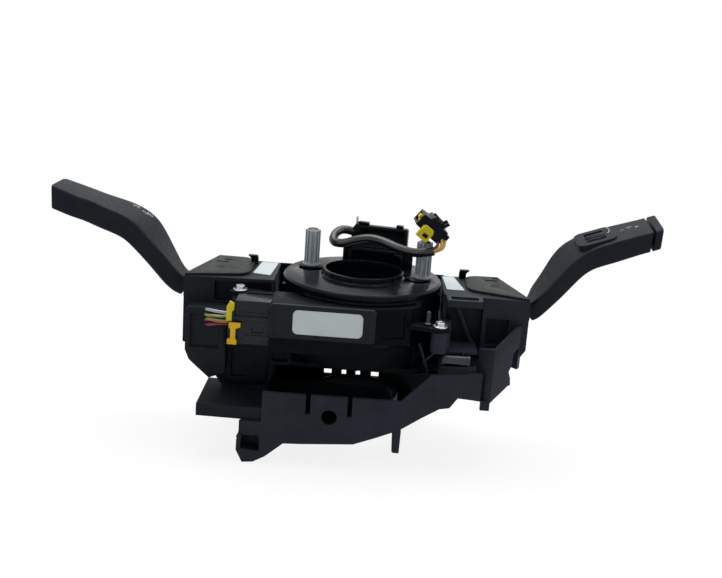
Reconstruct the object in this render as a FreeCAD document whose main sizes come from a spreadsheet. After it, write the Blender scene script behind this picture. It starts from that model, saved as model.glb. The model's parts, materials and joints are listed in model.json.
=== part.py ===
import FreeCAD, Part
import math
import os
import Sketcher

# Steering column switch module with its airbag clock spring.
# The frame: +Z points to the driver along the column, +X to the right, -Y to the front of the photo.
# The origin lies on the column axis at the lower end of the column collar.
# Lengths are millimetres and angles are degrees.

Vector = FreeCAD.Vector
doc = FreeCAD.newDocument("ColumnSwitchModule")
sheet = doc.addObject("Spreadsheet::Sheet", "Sizes")
cut_features = []
sheet_rows = []


def written(value):
    """Text of a value for an expression."""
    if isinstance(value, Size):
        return value.text
    return f"({float(value):.9g})"


class Size(float):
    """A number that remembers the sheet expression that gives it."""

    def __new__(cls, value, text):
        made = super().__new__(cls, value)
        made.text = text
        return made

    def __add__(self, other):
        return Size(float(self) + float(other), f"({self.text} + {written(other)})")

    def __radd__(self, other):
        return Size(float(other) + float(self), f"({written(other)} + {self.text})")

    def __sub__(self, other):
        return Size(float(self) - float(other), f"({self.text} - {written(other)})")

    def __rsub__(self, other):
        return Size(float(other) - float(self), f"({written(other)} - {self.text})")

    def __mul__(self, other):
        return Size(float(self) * float(other), f"({self.text} * {written(other)})")

    def __rmul__(self, other):
        return Size(float(other) * float(self), f"({written(other)} * {self.text})")

    def __truediv__(self, other):
        return Size(float(self) / float(other), f"({self.text} / {written(other)})")

    def __neg__(self):
        return Size(-float(self), f"(0 - {self.text})")


def size(name, value):
    """Writes one driving dimension into the sheet and gives it back."""
    sheet_rows.append(name)
    row = len(sheet_rows)
    sheet.set(f"A{row}", name)
    sheet.set(f"B{row}", f"{value}")
    sheet.setAlias(f"B{row}", name)
    return Size(value, f"Sizes.{name}")


def follows(name, value):
    """Writes a size that other sizes give, as a formula of the sheet."""
    sheet_rows.append(name)
    row = len(sheet_rows)
    formula = value.text.replace("Sizes.", "")
    sheet.set(f"A{row}", name)
    sheet.set(f"B{row}", f"={formula}")
    sheet.setAlias(f"B{row}", name)
    return Size(value, f"Sizes.{name}")


# Common walls and clearances
wall = size("wall", 2.0)
thin_wall = size("thin_wall", 1.5)
edge_inset = size("edge_inset", 0.5)
rest_gap = size("rest_gap", 0.3)
running_gap = size("running_gap", 0.4)
pin_clearance = size("pin_clearance", 0.05)
slide_clearance = size("slide_clearance", 0.25)

# Clock spring: rotor disc, collar and hub
disc_top = size("disc_top", 88.0)
disc_overhang = size("disc_overhang", 1.2)
disc_thickness = size("disc_thickness", 4.0)
disc_edge_round = size("disc_edge_round", 1.2)
collar_height = size("collar_height", 4.0)
collar_wall = size("collar_wall", 1.8)
shaft_bore_radius = size("shaft_bore_radius", 23.4)
hub_wall = size("hub_wall", 3.2)
rotor_turn = size("rotor_turn", 11.0)
pocket_depth = size("pocket_depth", 3.0)
pocket_radius = size("pocket_radius", 7.4)

# Drive posts that turn the steering wheel switches
post_stand_off = size("post_stand_off", 12.5)
post_back = size("post_back", 10.8)
post_height = size("post_height", 24.0)
post_radius = size("post_radius", 4.1)
post_rib = size("post_rib", 0.8)
post_skirt_radius = size("post_skirt_radius", 5.5)
post_skirt_height = size("post_skirt_height", 3.0)

# Clock spring: fixed casing and flat cable
casing_height = size("casing_height", 27.6)
cable_height = size("cable_height", 15.0)
cable_thickness = size("cable_thickness", 0.5)
cable_pitch = size("cable_pitch", 1.6)
cable_gap = size("cable_gap", 4.9)
cable_turns = size("cable_turns", 6)

# Steering angle sensor under the casing
sensor_height = size("sensor_height", 14.0)
ring_rim = size("ring_rim", 3.3)
tooth_addendum = size("tooth_addendum", 0.9)
tooth_dedendum = size("tooth_dedendum", 1.1)
ring_teeth = size("ring_teeth", 62)
pinion_one_teeth = size("pinion_one_teeth", 13)
pinion_two_teeth = size("pinion_two_teeth", 12)
gear_width = size("gear_width", 5.0)
gear_backlash = size("gear_backlash", 0.35)
pinion_pin_radius = size("pinion_pin_radius", 1.5)
pinion_room = size("pinion_room", 0.9)
board_thickness = size("board_thickness", 1.6)

# Column collar and lower bracket
column_step = size("column_step", 0.6)
collar_length = size("collar_length", 13.0)
collar_thickness = size("collar_thickness", 3.5)
apron_step = size("apron_step", 3.0)
apron_thickness = size("apron_thickness", 2.5)
apron_top = size("apron_top", 29.0)
shroud_hole_radius = size("shroud_hole_radius", 4.6)
tub_back = size("tub_back", 32.0)
cross_wall_top = size("cross_wall_top", 27.0)
deck_thickness = size("deck_thickness", 3.0)
shelf_top = size("shelf_top", 18.0)
shelf_reach = size("shelf_reach", 39.0)
leg_foot = size("leg_foot", -16.0)
prong_foot = size("prong_foot", -3.5)
screw_radius = size("screw_radius", 2.0)
screw_head_radius = size("screw_head_radius", 3.8)

# Switch housings
housing_rise = size("housing_rise", 11.0)
cover_thickness = size("cover_thickness", 1.6)
left_gap = size("left_gap", 4.0)
left_width = size("left_width", 54.0)
right_gap = size("right_gap", 1.0)
right_width = size("right_width", 51.5)
housing_front = size("housing_front", -24.0)
left_back = size("left_back", 28.0)
right_back = size("right_back", 21.5)
left_slant = size("left_slant", 13.0)
right_slant = size("right_slant", 15.0)
cover_corner = size("cover_corner", 10.0)
cavity_depth = size("cavity_depth", 25.0)
left_cover_setback = size("left_cover_setback", 16.0)
right_cover_setback = size("right_cover_setback", 14.5)
stalk_window = size("stalk_window", 27.0)

# Stalk carriers and their two pivots each
stalk_line = size("stalk_line", -4.0)
cover_seat = size("cover_seat", 4.0)
pivot_drop = size("pivot_drop", 13.0)
left_pivot_inset = size("left_pivot_inset", 19.0)
right_pivot_inset = size("right_pivot_inset", 19.5)
yoke_length = size("yoke_length", 18.0)
yoke_width = size("yoke_width", 19.0)
yoke_height = size("yoke_height", 20.0)
yoke_wall = size("yoke_wall", 2.0)
shank_width = size("shank_width", 14.0)
shank_height = size("shank_height", 11.0)
turn_pin_radius = size("turn_pin_radius", 2.5)
pull_pin_radius = size("pull_pin_radius", 2.0)

# Stalks
stalk_root_width = size("stalk_root_width", 20.0)
stalk_arm_width = size("stalk_arm_width", 28.0)
stalk_bend_width = size("stalk_bend_width", 31.0)
stalk_thickness = size("stalk_thickness", 13.8)
stalk_corner = size("stalk_corner", 1.9)
tip_round = size("tip_round", 5.5)
left_tip_reach = size("left_tip_reach", 81.5)
right_tip_reach = size("right_tip_reach", 75.0)
arm_tilt = size("arm_tilt", 20.0)
arm_roll = size("arm_roll", 7.0)
arm_reach = size("arm_reach", 40.4)
arm_rise = size("arm_rise", 41.3)
frame_length = size("frame_length", 24.0)
frame_width = size("frame_width", 22.0)
frame_rise = size("frame_rise", 1.6)
wheel_radius = size("wheel_radius", 6.5)
wheel_width = size("wheel_width", 11.0)
button_travel = size("button_travel", 1.5)
button_length = size("button_length", 4.2)

# Front control module and its plug
module_stand_off = size("module_stand_off", 9.2)
module_inset = size("module_inset", 2.0)
module_width = size("module_width", 61.0)
module_drop = size("module_drop", 2.0)
module_height = size("module_height", 22.0)
ear_thickness = size("ear_thickness", 2.5)
left_ear_drop = size("left_ear_drop", 1.0)
right_ear_drop = size("right_ear_drop", 9.0)
face_thickness = size("face_thickness", 2.5)
cover_round = size("cover_round", 0.8)
label_width = size("label_width", 34.5)
label_height = size("label_height", 13.8)
label_thickness = size("label_thickness", 0.3)
plug_length = size("plug_length", 25.0)
plug_setback = size("plug_setback", 7.0)
plug_depth = size("plug_depth", 16.0)
plug_height = size("plug_height", 26.5)
plug_drop = size("plug_drop", 1.5)
wire_diameter = size("wire_diameter", 1.8)

# Connector block, lead and airbag plug on the rotor
block_stand_off = size("block_stand_off", 3.6)
block_depth = size("block_depth", 11.0)
block_left = size("block_left", -20.0)
block_right = size("block_right", 26.0)
block_height = size("block_height", 11.0)
block_wall_height = size("block_wall_height", 24.5)
lead_diameter = size("lead_diameter", 5.6)
lead_wire_diameter = size("lead_wire_diameter", 1.9)


# Sizes that follow from the driving ones
# The hub sets the ring gear, the gears set the casing, and the casing sets the disc and all round it

hub_radius = follows("hub_radius", shaft_bore_radius + hub_wall)
gear_module = follows("gear_module", (hub_radius + ring_rim) / (ring_teeth / 2 - tooth_dedendum))
gear_reach = follows("gear_reach", gear_module * (ring_teeth / 2 + pinion_one_teeth + tooth_addendum))
casing_radius = follows("casing_radius", gear_reach + pinion_room + wall)
disc_radius = follows("disc_radius", casing_radius + disc_overhang)
floor_hole = follows("floor_hole", hub_radius + 2 * running_gap)
post_reach = follows("post_reach", shaft_bore_radius + post_stand_off)
block_front = follows("block_front", shaft_bore_radius + block_stand_off)
cable_inner = follows("cable_inner", hub_radius + cable_gap)
column_radius = follows("column_radius", shaft_bore_radius + column_step)

disc_bottom = follows("disc_bottom", disc_top - disc_thickness)
collar_top = follows("collar_top", disc_top + collar_height)
casing_top = follows("casing_top", disc_bottom - running_gap)
casing_floor = follows("casing_floor", casing_top - casing_height)
sensor_floor = follows("sensor_floor", casing_floor - sensor_height)
gear_low = follows("gear_low", sensor_floor + 2 * wall + board_thickness + 2 * running_gap)
gear_high = follows("gear_high", gear_low + gear_width)
deck_bottom = follows("deck_bottom", sensor_floor - deck_thickness)

left_inner = follows("left_inner", -disc_radius - left_gap)
left_outer = follows("left_outer", left_inner - left_width)
right_inner = follows("right_inner", disc_radius + right_gap)
right_outer = follows("right_outer", right_inner + right_width)
left_pivot = follows("left_pivot", left_outer + left_pivot_inset)
right_pivot = follows("right_pivot", right_outer - right_pivot_inset)
left_cover_tip = follows("left_cover_tip", left_inner - left_cover_setback)
right_cover_tip = follows("right_cover_tip", right_inner + right_cover_setback)
pivot_height = follows("pivot_height", disc_top - pivot_drop)
housing_top = follows("housing_top", pivot_height + housing_rise)
cover_top = follows("cover_top", housing_top + cover_thickness)
cavity_floor = follows("cavity_floor", pivot_height - cavity_depth)
window_low = follows("window_low", pivot_height - yoke_height / 2 - 1)

module_front = follows("module_front", -casing_radius - module_stand_off)
module_left = follows("module_left", left_inner + module_inset)
module_right = follows("module_right", module_left + module_width)
module_top = follows("module_top", disc_bottom - module_drop)
module_bottom = follows("module_bottom", module_top - module_height)
plug_left = follows("plug_left", module_left - plug_length)
plug_front = follows("plug_front", module_front + plug_setback)
plug_top = follows("plug_top", module_top - plug_drop)
plug_bottom = follows("plug_bottom", plug_top - plug_height)
left_ear_top = follows("left_ear_top", module_top - left_ear_drop)
right_ear_top = follows("right_ear_top", module_top - right_ear_drop)

tub_left = left_inner
tub_right = right_inner
apron_front = follows("apron_front", module_front - apron_step)
apron_back = follows("apron_back", apron_front + apron_thickness)
shelf_left = follows("shelf_left", tub_left - shelf_reach)

# Places of the two module screws and of the pin beside the right one
left_screw = (left_inner - 19, module_front + 28)
right_screw = (right_inner - 2.5, module_front + 7.5)
pin_place = (right_screw[0] - 7.2, right_screw[1] + 2.5)

doc.recompute()
doc.recompute()


# Drawing and feature helpers

def bind(thing, path, value):
    """Binds a property of an object to a sheet expression."""
    thing.setExpression(path, written(value))


def new_body(label):
    body = doc.addObject("PartDesign::Body", label)
    body.Label = label
    body.AllowCompound = True
    return body


def sketch_on(body, plane, offset):
    """A sketch on one of the body's origin planes, moved along that plane's normal."""
    sketch = body.newObject("Sketcher::SketchObject", "Sketch")
    role = plane + "_Plane"
    support = [item for item in body.Origin.OriginFeatures if item.Role == role][0]
    sketch.AttachmentSupport = (support, [""])
    sketch.MapMode = "FlatFace"
    bind(sketch, "AttachmentOffset.Base.z", offset)
    return sketch


def constrain(sketch, constraints, values):
    """Adds constraints, and binds those of them that have a value to the sheet."""
    first = sketch.ConstraintCount
    sketch.addConstraint(constraints)
    for place, value in values:
        if isinstance(value, Size):
            sketch.setExpression(f"Constraints[{first + place}]", value.text)


def polygon(*points):
    """Closed outline through the points."""
    def draw(sketch):
        first = sketch.GeometryCount
        count = len(points)
        corners = [Vector(float(x), float(y), 0) for x, y in points]
        lines = [Part.LineSegment(corners[i], corners[(i + 1) % count]) for i in range(count)]
        sketch.addGeometry(lines)
        constraints = []
        values = []
        for i in range(count):
            following = first + (i + 1) % count
            constraints.append(Sketcher.Constraint("Coincident", first + i, 2, following, 1))
        for i, (x, y) in enumerate(points):
            values.append((len(constraints), x))
            constraints.append(Sketcher.Constraint("DistanceX", -1, 1, first + i, 1, float(x)))
            values.append((len(constraints), y))
            constraints.append(Sketcher.Constraint("DistanceY", -1, 1, first + i, 1, float(y)))
        constrain(sketch, constraints, values)
    return draw


def rectangle(left, bottom, right, top):
    return polygon((left, bottom), (right, bottom), (right, top), (left, top))


def circle(x, y, radius):
    def draw(sketch):
        first = sketch.GeometryCount
        shape = Part.Circle(Vector(float(x), float(y), 0), Vector(0, 0, 1), float(radius))
        sketch.addGeometry(shape)
        constraints = [
            Sketcher.Constraint("DistanceX", -1, 1, first, 3, float(x)),
            Sketcher.Constraint("DistanceY", -1, 1, first, 3, float(y)),
            Sketcher.Constraint("Radius", first, float(radius)),
        ]
        constrain(sketch, constraints, [(0, x), (1, y), (2, radius)])
    return draw


def pad(body, plane, low, high, *outlines):
    """Adds material between two heights along the plane's axis. The XZ plane faces -Y."""
    offset = -high if plane == "XZ" else low
    sketch = sketch_on(body, plane, offset)
    for outline in outlines:
        outline(sketch)
    feature = body.newObject("PartDesign::Pad", "Pad")
    feature.Profile = sketch
    bind(feature, "Length", high - low)
    return feature


def cut(body, plane, low, high, *outlines):
    """Takes material away between two heights along the plane's axis."""
    offset = -low if plane == "XZ" else high
    sketch = sketch_on(body, plane, offset)
    for outline in outlines:
        outline(sketch)
    feature = body.newObject("PartDesign::Pocket", "Pocket")
    feature.Profile = sketch
    bind(feature, "Length", high - low)
    cut_features.append(feature)
    return feature


def revolve(body, *points):
    """Turns an outline of radius and height about the Z axis."""
    sketch = sketch_on(body, "XZ", 0)
    polygon(*points)(sketch)
    feature = body.newObject("PartDesign::Revolution", "Revolution")
    feature.Profile = sketch
    feature.ReferenceAxis = (sketch, ["V_Axis"])
    feature.Angle = 360
    return feature


def around(body, feature, count):
    """Repeats a feature about the body's Z axis."""
    pattern = body.newObject("PartDesign::PolarPattern", "PolarPattern")
    pattern.Originals = [feature]
    upright = [item for item in body.Origin.OriginFeatures if item.Role == "Z_Axis"][0]
    pattern.Axis = (upright, [""])
    pattern.Angle = 360
    bind(pattern, "Occurrences", count)
    body.Tip = pattern
    return pattern


def round_edges(body, radius, chosen):
    """Rounds the edges of the body's shape that the test picks."""
    doc.recompute()
    base = body.Tip
    names = []
    for number, edge in enumerate(base.Shape.Edges, 1):
        if chosen(edge):
            names.append(f"Edge{number}")
    if not names:
        raise ValueError(f"{body.Label}: no edge to round")
    feature = body.newObject("PartDesign::Fillet", "Fillet")
    feature.Base = (base, names)
    bind(feature, "Radius", radius)
    return feature


def middle(edge):
    return edge.valueAt((edge.FirstParameter + edge.LastParameter) / 2)


def runs_along(edge, axis):
    """True for a straight edge along X (0), Y (1) or Z (2)."""
    start, end = edge.Vertexes[0].Point, edge.Vertexes[-1].Point
    across = [abs(end[i] - start[i]) for i in range(3) if i != axis]
    return abs(end[axis] - start[axis]) > 0.01 and max(across) < 0.001


def turned_body(label):
    """A body of the rotor, turned with it about the column axis."""
    body = new_body(label)
    body.Placement = FreeCAD.Placement(Vector(), FreeCAD.Rotation(Vector(0, 0, 1), -float(rotor_turn)))
    bind(body, "Placement.Rotation.Angle", rotor_turn)
    body.Placement.Rotation.Axis = Vector(0, 0, -1)
    return body


def shape_object(label, shape):
    """A sub-part whose form is worked out from sheet sizes with shape functions."""
    feature = doc.addObject("Part::Feature", label)
    feature.Label = label
    feature.Shape = shape
    return feature


# Clock spring rotor

def rotor_disc():
    body = turned_body("rotor_disc")
    revolve(
        body,
        (shaft_bore_radius, disc_bottom),
        (disc_radius - 0.6, disc_bottom),
        (disc_radius, disc_bottom + 0.6),
        (disc_radius, disc_top - disc_edge_round),
        (disc_radius - disc_edge_round, disc_top),
        (shaft_bore_radius + collar_wall + 0.8, disc_top),
        (shaft_bore_radius + collar_wall, disc_top + 0.8),
        (shaft_bore_radius + collar_wall, collar_top - 0.5),
        (shaft_bore_radius + collar_wall - 0.5, collar_top),
        (shaft_bore_radius, collar_top),
    )
    floor = disc_top - pocket_depth
    for side in (-1, 1):
        centre = side * (post_reach - 1.5)
        cut(body, "XY", floor, disc_top + 1, circle(centre, 3.2, pocket_radius))
        slot_end = side * (shaft_bore_radius + collar_wall + 1.2)
        cut(body, "XY", floor, disc_top + 1, polygon(
            (centre, 0.4), (slot_end, -1.6), (slot_end, 4.4), (centre, 6.4),
        ))
        pad(body, "XY", floor, disc_top, circle(side * post_reach, post_back, post_skirt_radius + 1.2))
        pad(body, "XY", floor, floor + 1.2, circle(centre, 2.2, screw_radius))
    return body


def rotor_hub():
    body = turned_body("rotor_hub")
    low = gear_low - 1.5
    revolve(
        body,
        (shaft_bore_radius, low),
        (hub_radius, low),
        (hub_radius, disc_bottom),
        (shaft_bore_radius, disc_bottom),
    )
    notch = cut(body, "XZ", -2.5, 2.5, rectangle(
        shaft_bore_radius - 1, low - 1, hub_radius + 1, gear_low,
    ))
    around(body, notch, 4)
    return body


def seat_on_rotor(body, x, y):
    """Moves a body that is drawn about its own axis to a place on the turned rotor."""
    bind(body, "Placement.Base.x", x)
    bind(body, "Placement.Base.y", y)


def turned(x, y):
    """Where a point of the unturned rotor lies once the rotor is turned."""
    sine = Size(math.sin(math.radians(rotor_turn)), f"sin({rotor_turn.text})")
    cosine = Size(math.cos(math.radians(rotor_turn)), f"cos({rotor_turn.text})")
    return x * cosine + y * sine, y * cosine - x * sine


def drive_post(label, side):
    """Ribbed post with a flared skirt and a stepped, rounded crown."""
    body = turned_body(label)
    top = disc_top + post_height
    reach = post_radius + post_rib
    revolve(
        body,
        (0, disc_top),
        (post_skirt_radius, disc_top),
        (post_skirt_radius, disc_top + 0.8),
        (post_radius, disc_top + post_skirt_height),
        (post_radius, top - 1.4),
        (post_radius - 1.2, top - 0.3),
        (post_radius - 2.2, top),
        (0, top),
    )
    rib = pad(body, "XY", disc_top, top - 1.2, polygon(
        (post_radius - 1, -0.6), (reach, -0.4), (reach, 0.4), (post_radius - 1, 0.6),
    ))
    around(body, rib, 12)
    x, y = turned(side * post_reach, post_back)
    seat_on_rotor(body, x, y)
    return body


def gear_outline(teeth):
    """Trapezoid teeth about an origin, as one closed wire."""
    pitch_radius = teeth * gear_module / 2
    outer = pitch_radius + gear_module * tooth_addendum
    root = pitch_radius - gear_module * tooth_dedendum
    pitch_angle = 2 * math.pi / teeth
    half_pitch_arc = (math.pi * gear_module - gear_backlash) / 4
    points = []
    for number in range(int(teeth)):
        centre = number * pitch_angle
        half_root = half_pitch_arc * 1.45 / root
        half_outer = half_pitch_arc * 0.5 / outer
        for radius, angle in (
            (root, centre - half_root), (outer, centre - half_outer),
            (outer, centre + half_outer), (root, centre + half_root),
        ):
            points.append(Vector(radius * math.cos(angle), radius * math.sin(angle), 0))
    points.append(points[0])
    return Part.makePolygon(points)


def gear(label, teeth, bore, x, y, start_angle):
    """A spur gear between the gear heights. Its bore runs on a shaft at the given place."""
    solid = Part.Face(gear_outline(teeth)).extrude(Vector(0, 0, float(gear_width)))
    solid = solid.cut(Part.makeCylinder(bore, gear_width))
    solid.rotate(Vector(), Vector(0, 0, 1), start_angle)
    solid.translate(Vector(float(x), float(y), float(gear_low)))
    return shape_object(label, solid)


def gear_distance(teeth):
    return (ring_teeth + teeth) * gear_module / 2


def gear_place(teeth, bearing):
    """Centre of a pinion that meshes with the ring gear on the given bearing."""
    reach = gear_distance(teeth)
    return reach * math.cos(math.radians(bearing)), reach * math.sin(math.radians(bearing))


def pinion_start(teeth, bearing):
    """Turn that puts a gap of the pinion on a tooth of the ring gear."""
    ring_phase = ((bearing + rotor_turn) * ring_teeth / 360) % 1
    return bearing + 180 + (ring_phase + 0.5) * 360 / teeth


# Teeth of each pinion and its bearing from the column axis
pinions = {
    "sensor_pinion_one": (pinion_one_teeth, 214),
    "sensor_pinion_two": (pinion_two_teeth, 326),
}


def sensor_gears():
    gear("sensor_ring_gear", ring_teeth, hub_radius, 0, 0, -float(rotor_turn))
    for label, (teeth, bearing) in pinions.items():
        x, y = gear_place(teeth, bearing)
        gear(label, teeth, pinion_pin_radius + pin_clearance, x, y, pinion_start(teeth, bearing))


# Clock spring stator

def sensor_housing():
    """Ring wall round the angle sensor, with snap ribs outside."""
    body = new_body("sensor_housing")
    revolve(
        body,
        (casing_radius - wall, sensor_floor),
        (casing_radius, sensor_floor),
        (casing_radius, casing_floor),
        (casing_radius - wall, casing_floor),
    )
    rib = pad(body, "XZ", -1, 1, rectangle(
        casing_radius - 0.5, sensor_floor, casing_radius + 1.5, casing_floor,
    ))
    around(body, rib, 8)
    return body


def sensor_base():
    """Floor of the angle sensor, with a stepped pin for each pinion."""
    body = new_body("sensor_base")
    pad(
        body, "XY", sensor_floor, sensor_floor + wall,
        circle(0, 0, casing_radius - wall), circle(0, 0, floor_hole),
    )
    for teeth, bearing in pinions.values():
        x, y = gear_place(teeth, bearing)
        pad(body, "XY", sensor_floor + wall, gear_low - rest_gap, circle(x, y, pinion_pin_radius + 1))
        pad(body, "XY", gear_low - rest_gap, gear_high + 0.6, circle(x, y, pinion_pin_radius))
    return body


def sensor_board():
    """Ring-shaped circuit board on the floor of the sensor housing."""
    body = new_body("sensor_board")
    low = sensor_floor + wall
    outer = circle(0, 0, casing_radius - wall - slide_clearance)
    pad(body, "XY", low, low + board_thickness, outer, circle(0, 0, floor_hole + slide_clearance))
    for teeth, bearing in pinions.values():
        x, y = gear_place(teeth, bearing)
        cut(body, "XY", low - 1, low + board_thickness + 1, circle(x, y, pinion_pin_radius + 1 + slide_clearance))
    chip = low + board_thickness
    pad(body, "XY", chip - 0.1, chip + 0.7, rectangle(-5, 33, 5, 41))
    return body


def stator_casing():
    """Outer ring of the clock spring, with six snap hooks outside."""
    body = new_body("stator_casing")
    revolve(
        body,
        (casing_radius - wall, casing_floor),
        (casing_radius, casing_floor),
        (casing_radius, casing_top),
        (casing_radius - wall, casing_top),
    )
    snap = pad(body, "XZ", -3, 3, rectangle(
        casing_radius - 0.5, casing_top - 14, casing_radius + 1.6, casing_top - 4,
    ))
    around(body, snap, 6)
    return body


def stator_base():
    """Plate between the angle sensor and the flat cable."""
    body = new_body("stator_base")
    pad(
        body, "XY", casing_floor, casing_floor + wall,
        circle(0, 0, casing_radius - wall), circle(0, 0, floor_hole),
    )
    return body


def ribbon_cable():
    """Flat cable wound as half circles whose centres step from side to side."""
    low = casing_floor + wall
    half = cable_thickness / 2
    step = cable_pitch / 2
    outer_edges = []
    inner_edges = []
    radius = cable_inner
    centre = 0.0
    for number in range(int(cable_turns) * 2):
        side = 1 if number % 2 == 0 else -1
        for offset, edges in ((half, outer_edges), (-half, inner_edges)):
            reach = float(radius + offset)
            start = Vector(centre + side * reach, 0, 0)
            over = Vector(centre, side * reach, 0)
            end = Vector(centre - side * reach, 0, 0)
            edges.append(Part.Arc(start, over, end).toShape())
        centre = centre + side * float(step) / 2
        radius = radius + step / 2
    first = (outer_edges[0].Vertexes[0].Point, inner_edges[0].Vertexes[0].Point)
    last = (outer_edges[-1].Vertexes[-1].Point, inner_edges[-1].Vertexes[-1].Point)
    ends = [Part.makeLine(*first), Part.makeLine(*last)]
    outline = Part.Wire(Part.__sortEdges__(outer_edges + inner_edges + ends))
    solid = Part.Face(outline).extrude(Vector(0, 0, float(cable_height)))
    solid.translate(Vector(0, 0, float(low)))
    return shape_object("ribbon_cable", solid)


# Lower bracket

def column_collar():
    """Ring that clamps on the column tube under the clock spring."""
    body = new_body("column_collar")
    outer = column_radius + collar_thickness
    revolve(
        body,
        (column_radius, 0),
        (outer, 0),
        (outer, collar_length - 1),
        (outer - 1, collar_length),
        (column_radius + 1, collar_length),
        (column_radius, collar_length - 1),
    )
    return body


def base_bracket():
    """Floor of the tub under the clock spring, round the collar."""
    body = new_body("base_bracket")
    pad(body, "XY", 0, thin_wall * 2, polygon(
        (tub_left, apron_back), (2, apron_back), (16, -42), (31, -20), (35, 0), (38, tub_back),
        (tub_left, tub_back),
    ), circle(0, 0, column_radius + collar_thickness))
    return body


def tub_walls():
    """Back wall of the tub with four small windows, and its two side walls."""
    body = new_body("tub_walls")
    floor = thin_wall * 2
    back_low = tub_back - apron_thickness
    pad(body, "XZ", back_low, tub_back, polygon(
        (tub_left, floor), (38, floor), (tub_right, 10), (tub_right, deck_bottom), (tub_left, deck_bottom),
    ))
    pad(body, "YZ", tub_left, tub_left + apron_thickness, polygon(
        (apron_back, floor), (tub_back, floor), (tub_back, deck_bottom), (-26, deck_bottom), (-40, apron_top),
        (apron_back, apron_top),
    ))
    pad(body, "YZ", tub_right - apron_thickness, tub_right, polygon(
        (module_front + 12, 26), (tub_back, 26), (tub_back, deck_bottom), (module_front + 12, deck_bottom),
    ))
    for x, half in ((-19, 3.4), (-8.2, 2), (1.1, 2), (12.5, 3.4)):
        cut(body, "XZ", back_low - 1, tub_back + 1, rectangle(x - half, 13.2, x + half, 17))
    return body


def cross_wall():
    """Wall across the tub in front of the collar, braced by four triangular ribs."""
    body = new_body("cross_wall")
    floor = thin_wall * 2
    back = -(column_radius + collar_thickness) - 1.5
    right = 23
    pad(body, "XZ", back - thin_wall, back, polygon(
        (tub_left + apron_thickness, floor), (right, floor), (right, cross_wall_top - 6),
        (right - 5, cross_wall_top), (tub_left + apron_thickness, cross_wall_top),
    ))
    for x in (-40, -22, -4, 14):
        pad(body, "YZ", x, x + thin_wall, polygon(
            (back - 8, floor), (back - 0.5, floor), (back - 0.5, cross_wall_top - 3),
        ))
    return body


def deck_plate():
    """Plate on the tub's walls that carries the clock spring, with a ribbed rim round its hole."""
    body = new_body("deck_plate")
    hole = floor_hole + 1
    pad(body, "XY", deck_bottom, sensor_floor, polygon(
        (tub_left, -26), (-36, -40), (36, -40), (tub_right, -30), (tub_right, tub_back), (tub_left, tub_back),
    ), circle(0, 0, hole))
    return body


def front_apron():
    """Front wall: an outline with two slots and the shroud screw hole, its slanted right end and the leg."""
    body = new_body("front_apron")
    wing_right = right_inner + 25.3
    wing_back = apron_front + 14
    pad(body, "XZ", apron_front, apron_back, polygon(
        (tub_left - 13, shelf_top - 8), (tub_left - 13, 4), (tub_left - 14.2, -2), (tub_left - 14.3, -8.5),
        (tub_left - 10.5, leg_foot), (tub_left - 4, leg_foot + 0.6), (-50, -11.5), (-39.5, -2.4), (-30, -2),
        (1.7, 0.2), (14.4, 5.2), (28.5, 11.4), (28.5, apron_top), (tub_left, apron_top), (tub_left, shelf_top - 8),
    ))
    pad(body, "XY", 8, 45, polygon(
        (28.4, apron_front), (wing_right, wing_back), (wing_right, wing_back + apron_thickness), (28.4, apron_back),
    ))
    cut(body, "XZ", apron_front - 1, apron_front + 20, polygon(
        (28, 7), (28.5, 11.4), (40, 18), (51, 23.6), (57, 24), (61.5, 30), (70, 28.5), (wing_right + 2, 27),
        (wing_right + 2, 7),
    ))
    cut(body, "XZ", apron_front - 1, apron_front + 20, polygon(
        (28, apron_top), (44, 44), (44, 46), (28, 46),
    ))
    for left in (-27.4, -3):
        cut(body, "XZ", apron_front - 1, apron_back + 1, rectangle(left, shelf_top - 1, left + 2.8, apron_top + 1))
    cut(body, "XZ", apron_front - 1, apron_back + 1, circle(-13.3, 16, shroud_hole_radius))
    pad(body, "XZ", apron_front + 0.5, apron_front + 4, polygon(
        (24, 11), (24.6, prong_foot + 1), (25.5, prong_foot), (29, prong_foot), (29.3, 10.5), (28, 14),
    ))
    floor = thin_wall * 2
    for x in (-40, -22, 6):
        pad(body, "YZ", x, x + thin_wall, polygon(
            (apron_back - 0.5, floor), (apron_back + 9, floor), (apron_back, apron_top - 5),
            (apron_back - 0.5, apron_top - 5),
        ))
    apron_leg(body)
    return body


def apron_leg(body):
    """Thick leg under the apron's left end, with its recess and a small stop pin."""
    pad(body, "XZ", apron_back - 0.5, apron_front + 14, polygon(
        (tub_left - 13, 8), (tub_left - 13, 4), (tub_left - 14, -2), (tub_left - 14, -8.5),
        (tub_left - 10.2, leg_foot + 0.4), (tub_left - 4, leg_foot + 1), (-50.5, -11.5), (tub_left, -4), (tub_left, 8),
    ))
    cut(body, "XZ", apron_front - 1, apron_front + 10, polygon(
        (tub_left - 11.5, 1.5), (tub_left - 11.8, -7.5), (tub_left - 0.5, -8.5), (tub_left - 1, 1.5),
    ))
    pad(body, "XZ", apron_front - 1.5, apron_front + 0.5, circle(tub_left - 12.5, 0.6, 1.6))


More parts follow.
